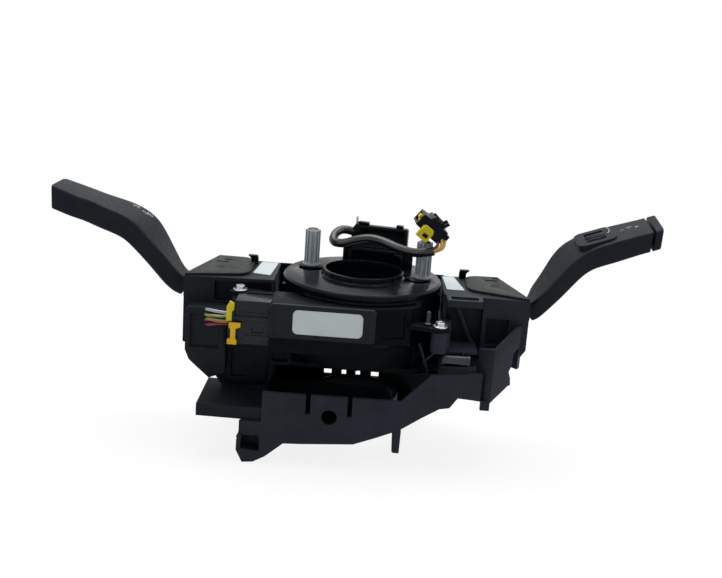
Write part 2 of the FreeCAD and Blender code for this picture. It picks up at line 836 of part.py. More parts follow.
def side_shelf():
    """Left shelf with a lip on its front and outer edges and three ribs under it."""
    body = new_body("side_shelf")
    front = apron_front + 2.5
    back = -13
    pad(body, "XY", shelf_top - 2.5, shelf_top, polygon(
        (shelf_left, front), (tub_left, front), (tub_left, back), (shelf_left + 0.5, back),
    ))
    pad(body, "XZ", front, front + 2, polygon(
        (shelf_left, shelf_top), (shelf_left + 0.3, shelf_top - 7.5), (tub_left, shelf_top - 8),
        (tub_left, shelf_top),
    ))
    pad(body, "YZ", shelf_left, shelf_left + 2, polygon(
        (front, shelf_top), (front, shelf_top - 7.5), (back, shelf_top - 5), (back, shelf_top),
    ))
    for x in (shelf_left + 8, shelf_left + 18, shelf_left + 28):
        pad(body, "YZ", x, x + thin_wall, polygon(
            (front + 1, shelf_top - 7.5), (back, shelf_top - 4.5), (back, shelf_top - 2), (front + 1, shelf_top - 2),
        ))
    return body


# Switch housings and their covers

def left_switch_housing():
    """Left housing: slanted outer side, front recess, lower case bump and the stalk window."""
    body = new_body("left_switch_housing")
    front = housing_front
    low = pivot_height - 49
    foot = shelf_top + rest_gap
    bump_front = front - 11
    bump_right = left_inner - 26
    pad(body, "XY", foot, housing_top, polygon(
        (left_outer, front), (left_inner, front + 4), (left_inner, left_back - 4),
        (left_outer + left_slant, left_back),
    ))
    pad(body, "XZ", bump_front, front + 1, polygon(
        (left_outer + 5, low + 44), (left_outer + 3.5, low + 42), (left_outer + 3.5, low + 17),
        (left_outer + 6, low + 11), (left_outer + 11, low + 6.5), (left_outer + 18.5, low), (bump_right, low + 4),
        (bump_right, low + 44),
    ))
    cut(body, "XZ", bump_front - 1, left_back + 1, polygon(
        (left_outer - 1, low + 19), (left_outer + 3.5, low + 17), (left_outer + 6, low + 11),
        (left_outer + 11, low + 6.5), (left_outer + 18.5, low), (left_outer + 25, foot - 1), (left_outer - 1, foot - 1),
    ))
    cut(body, "XZ", front - 1, front + 5, polygon(
        (bump_right + 2, foot + 5), (left_inner - 4, foot + 5), (left_inner - 4, low + 17), (bump_right + 2, low + 17),
    ))
    cavity_right = left_cover_tip - cover_seat
    cut(body, "XY", cavity_floor, housing_top + 1, polygon(
        (left_outer + wall + 2, front + 8.5), (cavity_right, front + 8.5), (cavity_right, left_back - 8),
        (left_outer + left_slant + wall, left_back - wall),
    ))
    cut(body, "YZ", left_outer - 1, left_outer + 12, rectangle(
        stalk_line - stalk_window / 2, window_low, stalk_line + stalk_window / 2, housing_top + 1,
    ))
    ear_low = left_ear_top - ear_thickness
    recess = front + 7
    cut(body, "XZ", front - 1, recess, rectangle(
        left_outer + 18.5, ear_low - 7, left_inner - wall, left_ear_top + 2.5,
    ))
    cut(body, "XZ", front - 1, recess, rectangle(
        bump_right + 2, cavity_floor + wall, left_inner - wall, ear_low - 9,
    ))
    cut(body, "XZ", bump_front - 1, bump_front + 2, rectangle(
        left_outer + 6.5, low + 19, bump_right - 4, low + 40,
    ))
    screw_boss(body, left_screw, ear_low, 18.5, rectangle(
        left_screw[0] - 2, left_screw[1], left_screw[0] + 2, front + 8,
    ))
    turn_bearing(body, left_pivot)
    return body


def screw_boss(body, place, top, height, web):
    """Tapped boss under a module ear, and the web that ties it to the housing."""
    x, y = place
    pad(body, "XY", top - height, top, circle(x, y, screw_radius + 3))
    pad(body, "XY", top - height, top, web)
    cut(body, "XY", top - height + 2, top + 1, circle(x, y, screw_radius + pin_clearance))


def turn_bearing(body, pivot):
    """Boss on the cavity floor in which a stalk carrier turns."""
    top = pivot_height - yoke_height / 2 - rest_gap
    pad(body, "XY", cavity_floor - 0.5, top, circle(pivot, stalk_line, turn_pin_radius + wall))
    cut(body, "XY", cavity_floor + 2, top + 1, circle(pivot, stalk_line, turn_pin_radius + pin_clearance))


def right_switch_housing():
    """Right housing: slanted outer side, open ribbed front, slot frame and the skirt below."""
    body = new_body("right_switch_housing")
    front = housing_front
    left = right_inner
    low = cavity_floor - 6
    pad(body, "XY", low, housing_top, polygon(
        (left, front), (right_outer, front - 4), (right_outer - right_slant, right_back), (left, right_back - 1),
    ))
    cavity_left = right_cover_tip + cover_seat
    cut(body, "XY", cavity_floor, housing_top + 1, polygon(
        (cavity_left, front + 8.5), (right_outer - wall - 2, front + 8.5),
        (right_outer - right_slant - wall, right_back - wall), (cavity_left, right_back - 3),
    ))
    cut(body, "XZ", front - 5, right_back + 1, polygon(
        (right_outer + 1, low + 13), (right_outer - 0.2, low + 11), (right_outer - 5, low + 3.5),
        (right_outer - 4.7, low - 1), (right_outer + 1, low - 1),
    ))
    cut(body, "YZ", right_outer - 12, right_outer + 1, rectangle(
        stalk_line - stalk_window / 2, window_low, stalk_line + stalk_window / 2, housing_top + 1,
    ))
    recess = front + 7
    cut(body, "XZ", front - 5, recess, rectangle(left + wall, low + 3, left + 24, housing_top - 2.5))
    cut(body, "XZ", front - 5, front + 4, rectangle(left + 26.5, low + 13, left + 40, housing_top - 12.5))
    pad(body, "XZ", front - 1, recess + 0.5, polygon(
        (left + 5.5, housing_top - 2.4), (left + 8, housing_top - 2.4), (left + 18.5, low + 16), (left + 24.2, low + 8.5),
        (left + 24.2, low + 3), (left + 25, low + 3), (left + 16, low + 15.5),
    ))
    for bottom, top, reach in ((low + 2, low + 4.5, 24), (low + 11.6, low + 13.2, 22)):
        pad(body, "XY", bottom, top, polygon(
            (left, front - reach), (left + 21, front - reach + 3), (left + 21, front + 4), (left, front + 4),
        ))
    pad(body, "YZ", left, left + 17, circle(front - 22, low + 9, 1.7))
    pad(body, "YZ", left, left + 17, rectangle(front - 22, low + 8.4, recess, low + 9.6))
    for x in (left, left + 12):
        pad(body, "YZ", x, x + thin_wall, rectangle(front - 21, low + 2.5, front + 4, low + 13))
    pad(body, "XZ", front + 2, front + 4.5, polygon(
        (left, low - 16), (left + 27, low - 16), (left + 44, low - 8), (left + 44, low + 0.5), (left, low + 0.5),
    ))
    slot_frame(body)
    skirt(body)
    x, y = right_screw
    screw_boss(body, right_screw, right_ear_top - ear_thickness, 12.5, polygon(
        (x - 1.5, y + 2.5), (x + 6.5, y + 4.5), (x + 8.5, front + 4), (left + 0.2, front + 4),
    ))
    turn_bearing(body, right_pivot)
    return body


def slot_frame(body):
    """Open frame with a long slot that stands out in front of the right housing's top."""
    left = right_inner
    front = housing_front
    corners = ((left + 1.5, front - 13), (left + 22.5, front - 12), (left + 23, front + 1), (left + 1, front + 1))
    hole = ((left + 4, front - 10.4), (left + 20, front - 9.6), (left + 20.4, front - 3.5), (left + 3.6, front - 4))
    pad(body, "XY", housing_top - 4, housing_top, polygon(*corners), polygon(*hole))


def skirt(body):
    """Angled wall below the right housing, with its stepped lower edge."""
    inner = 2.4
    left = right_inner + 22
    right = right_inner + 47
    front = housing_front
    low = cavity_floor - 28
    top = cavity_floor + 22
    for bottom, height, back in ((low, top - 11, front + 14), (top - 12, top, front + 3)):
        pad(body, "XY", bottom, height, polygon(
            (left, front - 17), (left + 9, front - 23), (right, front - 7), (right, back), (right - inner, back),
            (right - inner, front - 5.8), (left + 8.7, front - 19.7), (left + 1.6, front - 15),
        ))
    cut(body, "XZ", front - 26, front + 15, polygon(
        (left - 1, low + 5), (left + 8.5, low + 5), (right - 5, low + 13), (right + 1, low + 13),
        (right + 1, low - 1), (left - 1, low - 1),
    ))
    cut(body, "XZ", front - 16, front + 15, polygon(
        (right - 3.4, low + 13), (right - 4, low + 18), (right - 5.4, low + 22), (right - 3.6, low + 26),
        (right - 3.4, low + 33), (right + 1, low + 37), (right + 1, low + 12),
    ))
    cut(body, "XZ", front - 26, front - 4.2, polygon(
        (left - 2, top - 14), (left + 9, top - 11.5), (right - 3, top - 1.5), (right + 3, top - 0.5), (right + 3, top + 1),
        (left - 2, top + 1),
    ))
    pad(body, "XY", low, low + 6, rectangle(left + 3.5, front - 22.2, left + 9, front - 19))
    pad(body, "XY", cavity_floor - 6, top - 1.5, polygon(
        (right - 3, front - 3.5), (right, front - 6.9), (right + 2, front - 2.5), (right, front + 3),
        (right - 2.4, front + 3),
    ))


def switch_cover(label, outer, inner_tip, pivot, slant, back):
    """Satin cover plate with a rounded inner end, two shallow recesses and the bearing of its carrier."""
    body = new_body(label)
    side = -1 if outer < 0 else 1
    reach = outer - side * edge_inset
    front = housing_front + edge_inset - (4 if side > 0 else 0)
    pad(body, "XY", housing_top, cover_top, polygon(
        (reach, front), (reach - side * slant, back - edge_inset), (inner_tip, back - 1.5),
        (inner_tip, housing_front + 10),
    ))

    def inner_corners(edge):
        return runs_along(edge, 2) and abs(middle(edge).x - inner_tip) < 1

    round_edges(body, cover_corner, inner_corners)
    cut(body, "XY", cover_top - 0.5, cover_top + 1, rectangle(pivot - 5, 9, pivot + 3, 12))
    cut(body, "XY", cover_top - 0.5, cover_top + 1, circle(pivot + 2, 16, 2.4))
    cut(body, "XY", housing_top - 1, cover_top + 1, circle(pivot, stalk_line, turn_pin_radius + pin_clearance))
    return body


def cover_latches():
    """Two hooks that stand at the covers' inner ends."""
    body = new_body("cover_latches")
    for x, side in ((left_cover_tip + 0.1, 1), (right_cover_tip - 0.1, -1)):
        pad(body, "XZ", right_back - 5, right_back - 1.5, polygon(
            (x, housing_top), (x + side * 2, housing_top), (x + side * 3.4, housing_top + 2.2),
            (x + side * 8, housing_top + 4.6), (x + side * 7, housing_top + 5.8),
            (x + side * 3, housing_top + 3.8), (x, housing_top + 2),
        ))
    return body


def blank_labels():
    """Three bare label plates: one on the module's face and one on each housing."""
    body = new_body("blank_labels")
    centre = module_left + 33.5
    middle_height = module_bottom + 12
    pad(body, "XZ", module_front - label_thickness, module_front, rectangle(
        centre - label_width / 2, middle_height - label_height / 2,
        centre + label_width / 2, middle_height + label_height / 2,
    ))
    left = left_inner
    right = right_inner
    high = housing_top + label_thickness
    pad(body, "XY", housing_top, high, polygon(
        (left - 14.5, -7), (left - 3.5, -10), (left - 1.5, 22), (left - 12, 23),
    ))
    pad(body, "XY", housing_top, high, polygon(
        (right + 2, -13), (right + 13, -13), (right + 8, 19), (right + 0.7, 18),
    ))
    return body


# Stalk carriers and stalks

def yoke(label, pivot):
    """Carrier that turns in the housing about Z and holds the stalk's own pins along Y."""
    body = new_body(label)
    low = pivot_height - yoke_height / 2
    high = pivot_height + yoke_height / 2
    half = yoke_length / 2
    front = stalk_line - yoke_width / 2
    back = stalk_line + yoke_width / 2
    pad(body, "XY", low, high, polygon(
        (pivot - half, front + 1.5), (pivot - half + 1.5, front), (pivot + half - 1.5, front),
        (pivot + half, front + 1.5), (pivot + half, back - 1.5), (pivot + half - 1.5, back),
        (pivot - half + 1.5, back), (pivot - half, back - 1.5),
    ))
    inside = shank_width / 2 + 0.5
    cut(body, "YZ", pivot - half - 1, pivot + half + 1, rectangle(
        stalk_line - inside, low + yoke_wall, stalk_line + inside, high - yoke_wall,
    ))
    cut(body, "XZ", front - 1, back + 1, circle(pivot, pivot_height, pull_pin_radius + pin_clearance))
    pad(body, "XY", cavity_floor + 3, low + 0.2, circle(pivot, stalk_line, turn_pin_radius))
    pad(body, "XY", high - 0.2, cover_top - 0.2, circle(pivot, stalk_line, turn_pin_radius))
    return body


def rounded_section(centre, angle, width, thickness, tilt, corner):
    """Rounded rectangle across a stalk. Its normal lies in the XZ plane at the angle from +X."""
    half_width = width / 2 - corner
    half_thickness = thickness / 2 - corner
    edges = []
    corners = ((1, 1, 0), (-1, 1, 90), (-1, -1, 180), (1, -1, 270))
    for number, (x, y, start) in enumerate(corners):
        middle_point = Vector(x * half_width, y * half_thickness, 0)
        at = [math.radians(start + step) for step in (0, 45, 90)]
        arc = [middle_point + Vector(corner * math.cos(a), corner * math.sin(a), 0) for a in at]
        following = corners[(number + 1) % 4]
        next_start = math.radians(following[2])
        next_middle = Vector(following[0] * half_width, following[1] * half_thickness, 0)
        next_point = next_middle + Vector(corner * math.cos(next_start), corner * math.sin(next_start), 0)
        edges.append(Part.Arc(*arc).toShape())
        edges.append(Part.makeLine(arc[2], next_point))
    wire = Part.Wire(edges)
    wire.rotate(Vector(), Vector(0, 0, 1), tilt)
    across = FreeCAD.Rotation(Vector(0, 1, 0), Vector(0, 0, 1), Vector(1, 0, 0), "ZXY")
    lean = FreeCAD.Rotation(Vector(0, 1, 0), -angle)
    wire.Placement = FreeCAD.Placement(Vector(*[float(value) for value in centre]), lean * across) * wire.Placement
    return wire


def stalk_arm(stations):
    """Smooth paddle through its sections, from the root to the tip."""
    wires = []
    for x, z, angle, width, thickness, tilt in stations:
        corner = min(float(stalk_corner), thickness / 2 - 0.6)
        wires.append(rounded_section((x, stalk_line, z), angle, float(width), float(thickness), tilt, corner))
    return Part.makeLoft(wires, True, False)


def shank(pivot, outer_x):
    """Root bar inside the housing, with the two pins on which the stalk is pulled."""
    half = shank_height / 2
    inner_x = pivot + (6 if pivot < 0 else -6)
    length = abs(float(outer_x) - float(inner_x))
    corner = Vector(min(float(outer_x), float(inner_x)), stalk_line - shank_width / 2, pivot_height - half)
    bar = Part.makeBox(length, shank_width, shank_height, corner)
    reach = yoke_width - 0.4
    pins = Part.makeCylinder(
        pull_pin_radius, reach, Vector(pivot, stalk_line - reach / 2, pivot_height), Vector(0, 1, 0),
    )
    return bar.fuse(pins)


def trimmed_tip(arm, root_x, tip_x, back_y):
    """The arm cut off at its tip by an upright wall whose two corners are rounded."""
    low_x = min(float(root_x), float(tip_x))
    length = abs(float(tip_x) - float(root_x))
    width = float(stalk_bend_width) + 20
    block = Part.makeBox(length, width, 200, Vector(low_x, back_y - width, pivot_height - 100))
    tip_edges = [edge for edge in block.Edges if runs_along(edge, 2) and abs(middle(edge).x - tip_x) < 0.1]
    return arm.common(block.makeFillet(tip_round, tip_edges))


def left_stalk():
    """Indicator paddle: up out of the housing, then a bend to the long flat arm."""
    x = float(left_outer)
    z = float(pivot_height)
    root = stalk_root_width
    bend = stalk_bend_width
    arm_wide = stalk_arm_width
    thick = stalk_thickness
    arm = stalk_arm((
        (x - 0.8, z + 0.4, 150, root - 2, thick - 2.4, 0),
        (x - 9.6, z + 6.2, 138, root + 1, thick - 2.4, 0),
        (x - 16.3, z + 15.4, 129, root + 5, thick - 2.2, -3),
        (x - 23.3, z + 25.2, 131, bend - 2, thick - 2, -7),
        (x - 30.4, z + 33.2, 140, bend, thick - 1.2, -7),
        (x - 38.2, z + 38.0, 152, bend, thick - 0.2, -4),
        (x - 47.5, z + 41.2, 161, arm_wide + 2, thick, -3),
        (x - 57.0, z + 44.2, 162, arm_wide, thick, -2),
        (x - 66.5, z + 47.1, 162, arm_wide, thick, -2),
        (x - 76.0, z + 50.1, 162, arm_wide, thick, -1),
        (x - 85.5, z + 53.0, 162, arm_wide, thick, 0),
        (x - 95.0, z + 56.0, 162, arm_wide, thick, 0),
    ))
    arm = trimmed_tip(arm, x + 3, x - left_tip_reach, stalk_line + arm_wide / 2)
    solid = arm.fuse(shank(left_pivot, x - 2.5)).removeSplitter()
    return shape_object("left_stalk", solid)


def on_arm(shape):
    """Places a shape drawn in the right arm's own frame: X along the arm, Z out of its upper face."""
    lean = FreeCAD.Rotation(Vector(0, 1, 0), -float(arm_tilt))
    roll = FreeCAD.Rotation(Vector(1, 0, 0), float(arm_roll))
    centre = Vector(right_outer + arm_reach, stalk_line, pivot_height + arm_rise)
    shape.Placement = FreeCAD.Placement(centre, lean * roll) * shape.Placement
    return shape


def beyond(x):
    """A large block that holds everything to the right of x round the right arm."""
    return Part.makeBox(60, 100, 200, Vector(x, -50, pivot_height - 50))


def button_start():
    return float(right_outer + right_tip_reach - button_length)


def right_paddle():
    """The whole right paddle, out to the end of the button that closes it."""
    x = float(right_outer)
    z = float(pivot_height)
    root = stalk_root_width
    bend = stalk_bend_width
    arm_wide = stalk_arm_width
    thick = stalk_thickness
    arm = stalk_arm((
        (x + 1.0, z - 1.2, 43, root - 2, thick - 3.2, 0),
        (x + 8.1, z + 5.8, 50, root + 1, thick - 3.4, 5),
        (x + 13.9, z + 14.6, 53, root + 4, thick - 3.3, 10),
        (x + 20.4, z + 25.2, 51, root + 7, thick - 2.8, 13),
        (x + 27.0, z + 33.6, 44, bend - 2, thick - 2.2, 12),
        (x + 35.0, z + 39.0, 31, bend - 2, thick - 1.2, 9),
        (x + 44.2, z + 42.9, 23, arm_wide + 2, thick - 0.6, 7),
        (x + 53.6, z + 46.4, 20, arm_wide + 1, thick - 0.8, 7),
        (x + 63.0, z + 49.8, 20, arm_wide, thick - 1.2, 7),
        (x + 72.4, z + 53.2, 20, arm_wide, thick - 1.6, 7),
        (x + 81.8, z + 56.6, 20, arm_wide, thick - 1.6, 7),
    ))
    return trimmed_tip(arm, x - 3, x + right_tip_reach, stalk_line + arm_wide / 2)


def right_stalk():
    """Wiper paddle with a raised frame round the interval wheel and a seat for the end button."""
    arm = right_paddle().cut(beyond(button_start() - button_travel - slide_clearance))
    top = arm_top()
    frame = Part.makeBox(
        frame_length, frame_width, top + frame_rise - 3, Vector(-frame_length / 2, -frame_width / 2, 3),
    )
    upright = [edge for edge in frame.Edges if runs_along(edge, 2)]
    frame = frame.makeFillet(float(tip_round), upright)
    well_length = wheel_width + 2 * slide_clearance
    well_width = 2 * wheel_radius + 1
    well = Part.makeBox(well_length, well_width, 16, Vector(-well_length / 2, -well_width / 2, wheel_low() - 0.5))
    seat_length = wheel_width + 6
    axle_seat = Part.makeCylinder(
        screw_radius + pin_clearance, seat_length, Vector(-seat_length / 2, 0, wheel_axis()), Vector(1, 0, 0),
    )
    stem_seat = button_stem(slide_clearance, button_travel + 0.5)
    solid = arm.fuse(shank(right_pivot, right_outer + 3)).fuse(on_arm(frame))
    solid = solid.cut(on_arm(well)).cut(on_arm(axle_seat)).cut(stem_seat).removeSplitter()
    return shape_object("right_stalk", solid)


def arm_top():
    return float(stalk_thickness) / 2 - 0.3


def wheel_axis():
    return arm_top() + float(frame_rise) + 1.2 - float(wheel_radius)


def wheel_low():
    return wheel_axis() - float(wheel_radius)


def interval_wheel():
    """Ribbed thumb wheel on a short axle along the arm."""
    ribs = 20
    points = []
    for number in range(ribs * 2):
        radius = float(wheel_radius) - (0.5 if number % 2 else 0)
        angle = math.pi * number / ribs
        points.append(Vector(0, radius * math.cos(angle), radius * math.sin(angle)))
    points.append(points[0])
    rim = Part.Face(Part.makePolygon(points)).extrude(Vector(wheel_width, 0, 0))
    rim.translate(Vector(-float(wheel_width) / 2, 0, wheel_axis()))
    axle = Part.makeCylinder(
        screw_radius, wheel_width + 5, Vector(-float(wheel_width) / 2 - 2.5, 0, wheel_axis()), Vector(1, 0, 0),
    )
    return shape_object("interval_wheel", on_arm(rim.fuse(axle)))


def button_stem(grow, deeper):
    """Rounded guide of the end button, along the arm. The stalk's seat is the same, grown and deeper."""
    from_centre = right_tip_reach - button_length - arm_reach
    start = float(from_centre) / math.cos(math.radians(arm_tilt)) - 6 - float(deeper)
    width = float(stalk_arm_width) - 12 + 2 * float(grow)
    height = float(stalk_thickness) - 7 + 2 * float(grow)
    block = Part.makeBox(9 + float(deeper), width, height, Vector(start, -width / 2, -height / 2 - 0.6))
    long_edges = [edge for edge in block.Edges if runs_along(edge, 0)]
    return on_arm(block.makeFillet(2.2, long_edges))


def end_button():
    """Button that is the whole end of the paddle, with its guide."""
    cap = right_paddle().common(beyond(button_start()))
    return shape_object("end_button", cap.fuse(button_stem(0, 0)).removeSplitter())


# Front control module, plug and cut wires

def control_module_housing():
    """Case in front of the clock spring, hollowed to its round wall, with a sloping right end and two ears."""
    body = new_body("control_module_housing")
    front = module_front
    back = front + face_thickness
    pad(body, "XY", module_bottom, module_top, polygon(
        (module_left, back), (module_right, back), (module_right + 20.5, front + 9.5), (module_right + 26, front + 19),
        (module_right + 26, front + 27), (module_left, front + 27),
    ))
    pad(body, "XY", module_bottom - 8, module_bottom + 1, polygon(
        (module_left, back + 1), (2, back + 1), (module_right, front + 7), (module_right, front + 17),
        (module_left, front + 17),
    ))
    cut(body, "XY", module_bottom - 9, module_top + 1, circle(0, 0, casing_radius + 2.2))
    cut(body, "XZ", front - 3, front + 14, rectangle(
        module_right + 4, module_bottom + 4, module_right + 17, module_top - 4,
    ))
    cut(body, "XZ", back - 1, back + 3.2, rectangle(
        module_left + 21, module_bottom - 9.5, module_left + 39, module_bottom - 4,
    ))
    pad(body, "XY", module_bottom - 16, module_bottom - 7.5, rectangle(
        module_left, back + 1.5, module_left + 13, back + 13,
    ))
    cut(body, "XZ", back, back + 4, rectangle(
        module_left + 2, module_bottom - 14, module_left + 11, module_bottom - 9.5,
    ))
    x, y = right_screw
    pad(body, "XY", right_ear_top - ear_thickness, right_ear_top, polygon(
        (module_right + 19, y - 0.5), (x - 1.5, y - 5.5), (x + 5.5, y - 3), (x + 5.5, y + 3), (x - 3.5, y + 5.5),
        (module_right + 23, y + 7.5),
    ))
    cut(body, "XY", right_ear_top - ear_thickness - 1, right_ear_top + 1, circle(x, y, screw_radius + pin_clearance))
    x, y = left_screw
    pad(body, "XY", left_ear_top - ear_thickness, left_ear_top, polygon(
        (x - 6, y - 3), (x - 3, y - 4.8), (module_left + 1, y - 4.8), (module_left + 1, y - 1), (x + 6, y + 4.8),
        (x - 5, y + 4.8),
    ))
    cut(body, "XY", left_ear_top - ear_thickness - 1, left_ear_top + 1, circle(x, y, screw_radius + pin_clearance))
    return body


def control_module_cover():
    """Snap-on face of the module with bevelled borders."""
    body = new_body("control_module_cover")
    back = module_front + face_thickness
    pad(body, "XZ", module_front, back, polygon(
        (module_left, module_bottom - 7), (module_left, module_top - 1), (module_left + 1.5, module_top),
        (module_right - 1.5, module_top), (module_right, module_top - 1.5), (module_right, module_bottom + 3),
        (module_right - 3, module_bottom), (module_right - 16, module_bottom), (module_right - 19, module_bottom - 7),
    ))
    cut(body, "XZ", module_front - 1, module_front + 0.6, rectangle(
        module_left + 2, module_bottom + 3, module_left + 12, module_top - 3,
    ))

    def top_edges(edge):
        return abs(middle(edge).y - module_front) < 0.01 and middle(edge).z > module_top - 2

    round_edges(body, cover_round, top_edges)
    return body


def plug_header():
    """Socket on the module's left end that takes the harness plug."""
    body = new_body("plug_header")
    back = plug_front + plug_depth
    pad(body, "YZ", plug_left + 4, module_left, rectangle(plug_front, plug_bottom, back, plug_top))
    cut(body, "YZ", plug_left + 3, module_left - 3, rectangle(
        plug_front + wall, plug_bottom + wall, back - wall, plug_top - wall - 3,
    ))
    cut(body, "YZ", plug_left + 3, module_left + 1, rectangle(
        plug_front - 1, plug_top - 9.5, plug_front + 1, plug_top - 7,
    ))
    pad(body, "YZ", plug_left + 6, module_left, rectangle(plug_front - 1.4, plug_top - 12, plug_front, plug_top - 10.5))
    pad(body, "YZ", plug_left + 10, module_left, rectangle(plug_front - 0.8, plug_bottom + 2, plug_front, plug_bottom + 6))
    cut(body, "XZ", plug_front - 2, plug_front + 1, rectangle(
        plug_left + 14, plug_bottom + 7.5, plug_left + 21, plug_bottom + 10.5,
    ))
    return body


def harness_plug():
    """Plug body inside the socket, with a flange and four wire mouths."""
    body = new_body("harness_plug")
    back = plug_front + plug_depth
    inset = wall + slide_clearance
    pad(body, "YZ", plug_left, plug_left + 4, rectangle(
        plug_front + 0.5, plug_bottom + 1, back - 0.5, plug_top - 4,
    ))
    pad(body, "YZ", plug_left + 4, module_left - 5, rectangle(
        plug_front + inset, plug_bottom + inset, back - inset, plug_top - 3 - inset,
    ))
    for y, z in wire_mouths():
        cut(body, "YZ", plug_left - 1, plug_left + 2, circle(y, z, wire_diameter / 2 + 0.35))
    return body


def wire_mouths():
    """Centres of the wire mouths on the plug's left face, from the top wire down."""
    y = plug_front + 4
    return [(y, plug_top - 9.5), (y + 2.6, plug_top - 12), (y, plug_top - 14.4), (y + 2.6, plug_top - 17)]


def plug_locks():
    """Yellow lock strip and the amber lock with wide ends."""
    strip = new_body("plug_side_lock")
    pad(strip, "XZ", plug_front - 1.2, plug_front + 0.5, polygon(
        (plug_left - 0.8, plug_top - 12.5), (plug_left + 2.4, plug_top - 12.5), (plug_left + 2.4, plug_top - 7),
        (plug_left + 3.6, plug_top - 5.5), (plug_left + 3.6, plug_top - 2), (plug_left + 1, plug_top - 0.5),
        (plug_left - 0.8, plug_top - 4),
    ))
    tab = new_body("plug_front_lock")
    left = plug_left + 0.2
    right = left + 7.6
    low = plug_bottom + 0.2
    high = low + 13.2
    pad(tab, "XZ", plug_front - 2.6, plug_front - 1.4, polygon(
        (left, low), (right - 2, low), (right - 2, low + 2.6), (right - 2.8, low + 3.6), (right - 2.8, high - 3.6),
        (right, high - 2.6), (right, high), (left + 0.8, high), (left + 0.8, high - 3), (left + 1.8, high - 3.8),
        (left + 1.8, low + 3.8), (left, low + 3),
    ))
    pad(tab, "XZ", plug_front - 1.4, plug_front + 0.5, rectangle(left + 1.8, low + 5, left + 3.6, low + 9))


def cord_tube(label, route, diameter):
    """Tube of straight runs joined by tangent arcs. Each arc is as large as its runs allow."""
    edges = []
    start = route[0]
    radii = []
    for number in range(1, len(route) - 1):
        before, corner, after = route[number - 1:number + 2]
        run_in = corner - before
        run_out = after - corner
        half_turn = run_in.getAngle(run_out) / 2
        reach = 0.45 * min(run_in.Length, run_out.Length)
        radii.append(reach / math.tan(half_turn))
        inwards = run_in.normalize()
        outwards = run_out.normalize()
        arc_start = corner - inwards * reach
        arc_end = corner + outwards * reach
        bisector = (outwards - inwards).normalize()
        arc_middle = corner + bisector * radii[-1] * (1 / math.cos(half_turn) - 1)
        edges.append(Part.LineSegment(start, arc_start).toShape())
        edges.append(Part.Arc(arc_start, arc_middle, arc_end).toShape())
        start = arc_end
    edges.append(Part.LineSegment(start, route[-1]).toShape())
    path = Part.Wire(edges)
    profile = Part.Wire(Part.makeCircle(float(diameter) / 2, route[0], route[1] - route[0]))
    tube = path.makePipeShell([profile], True, False)
    expected = math.pi * (float(diameter) / 2) ** 2 * path.Length
    smallest = f"{min(radii):.1f}"
    print(f"{label}: length {path.Length:.1f}, smallest radius {smallest}, volume ratio {tube.Volume / expected:.4f}")
    return shape_object(label, tube)


# Middle points of each cut wire, counted from its mouth: left, back and up
wire_runs = {
    "harness_wire_white": ((-7, -0.6, 0.6), (-12.5, 0.6, 1.0), (-16, 4.6, 0.2), (-16.8, 9.6, -1.4)),
    "harness_wire_green": ((-6.5, -1.2, -0.4), (-11.5, -1.0, -0.2), (-15.4, 1.6, -0.8), (-17, 6.2, -1.8)),
    "harness_wire_brown": ((-7, -0.8, -0.2), (-12, 0.2, 0.4), (-15.6, 3.8, -0.6), (-16.6, 8.4, -2.6)),
    "harness_wire_red": ((-6.5, -1.4, 0.8), (-11.5, -1.2, -0.4), (-15, 1.4, -1.6), (-16.4, 5.8, -3.0)),
}


def harness_wires():
    for (label, steps), (y, z) in zip(wire_runs.items(), wire_mouths()):
        mouth = Vector(float(plug_left) + 2, float(y), float(z))
        route = [mouth] + [mouth + Vector(*step) for step in steps]
        cord_tube(label, route, wire_diameter)


def module_screws():
    """Two flanged screws that hold the module's ears to the housings."""
    body = new_body("module_screws")
    for (x, y), seat in ((left_screw, left_ear_top), (right_screw, right_ear_top)):
        pad(body, "XY", seat - 8, seat, circle(x, y, screw_radius))
        pad(body, "XY", seat, seat + 0.9, circle(x, y, screw_head_radius + 0.7))
        pad(body, "XY", seat + 0.9, seat + 3, circle(x, y, screw_head_radius - 1.1))
        cut(body, "XY", seat + 1.6, seat + 4, polygon(*[
            (x + 1.5 * math.cos(math.radians(60 * k)), y + 1.5 * math.sin(math.radians(60 * k))) for k in range(6)
        ]))
    return body


def locating_pin():
    """Stepped pin behind the right screw."""
    body = new_body("locating_pin")
    low = right_ear_top
    revolve(
        body,
        (0, low), (2.4, low), (2.4, low + 1), (1.5, low + 1.6), (1.5, low + 7.4), (0.9, low + 8.2), (0, low + 8.2),
    )
    bind(body, "Placement.Base.x", pin_place[0])
    bind(body, "Placement.Base.y", pin_place[1])
    return body


# Connector block and airbag lead on the rotor

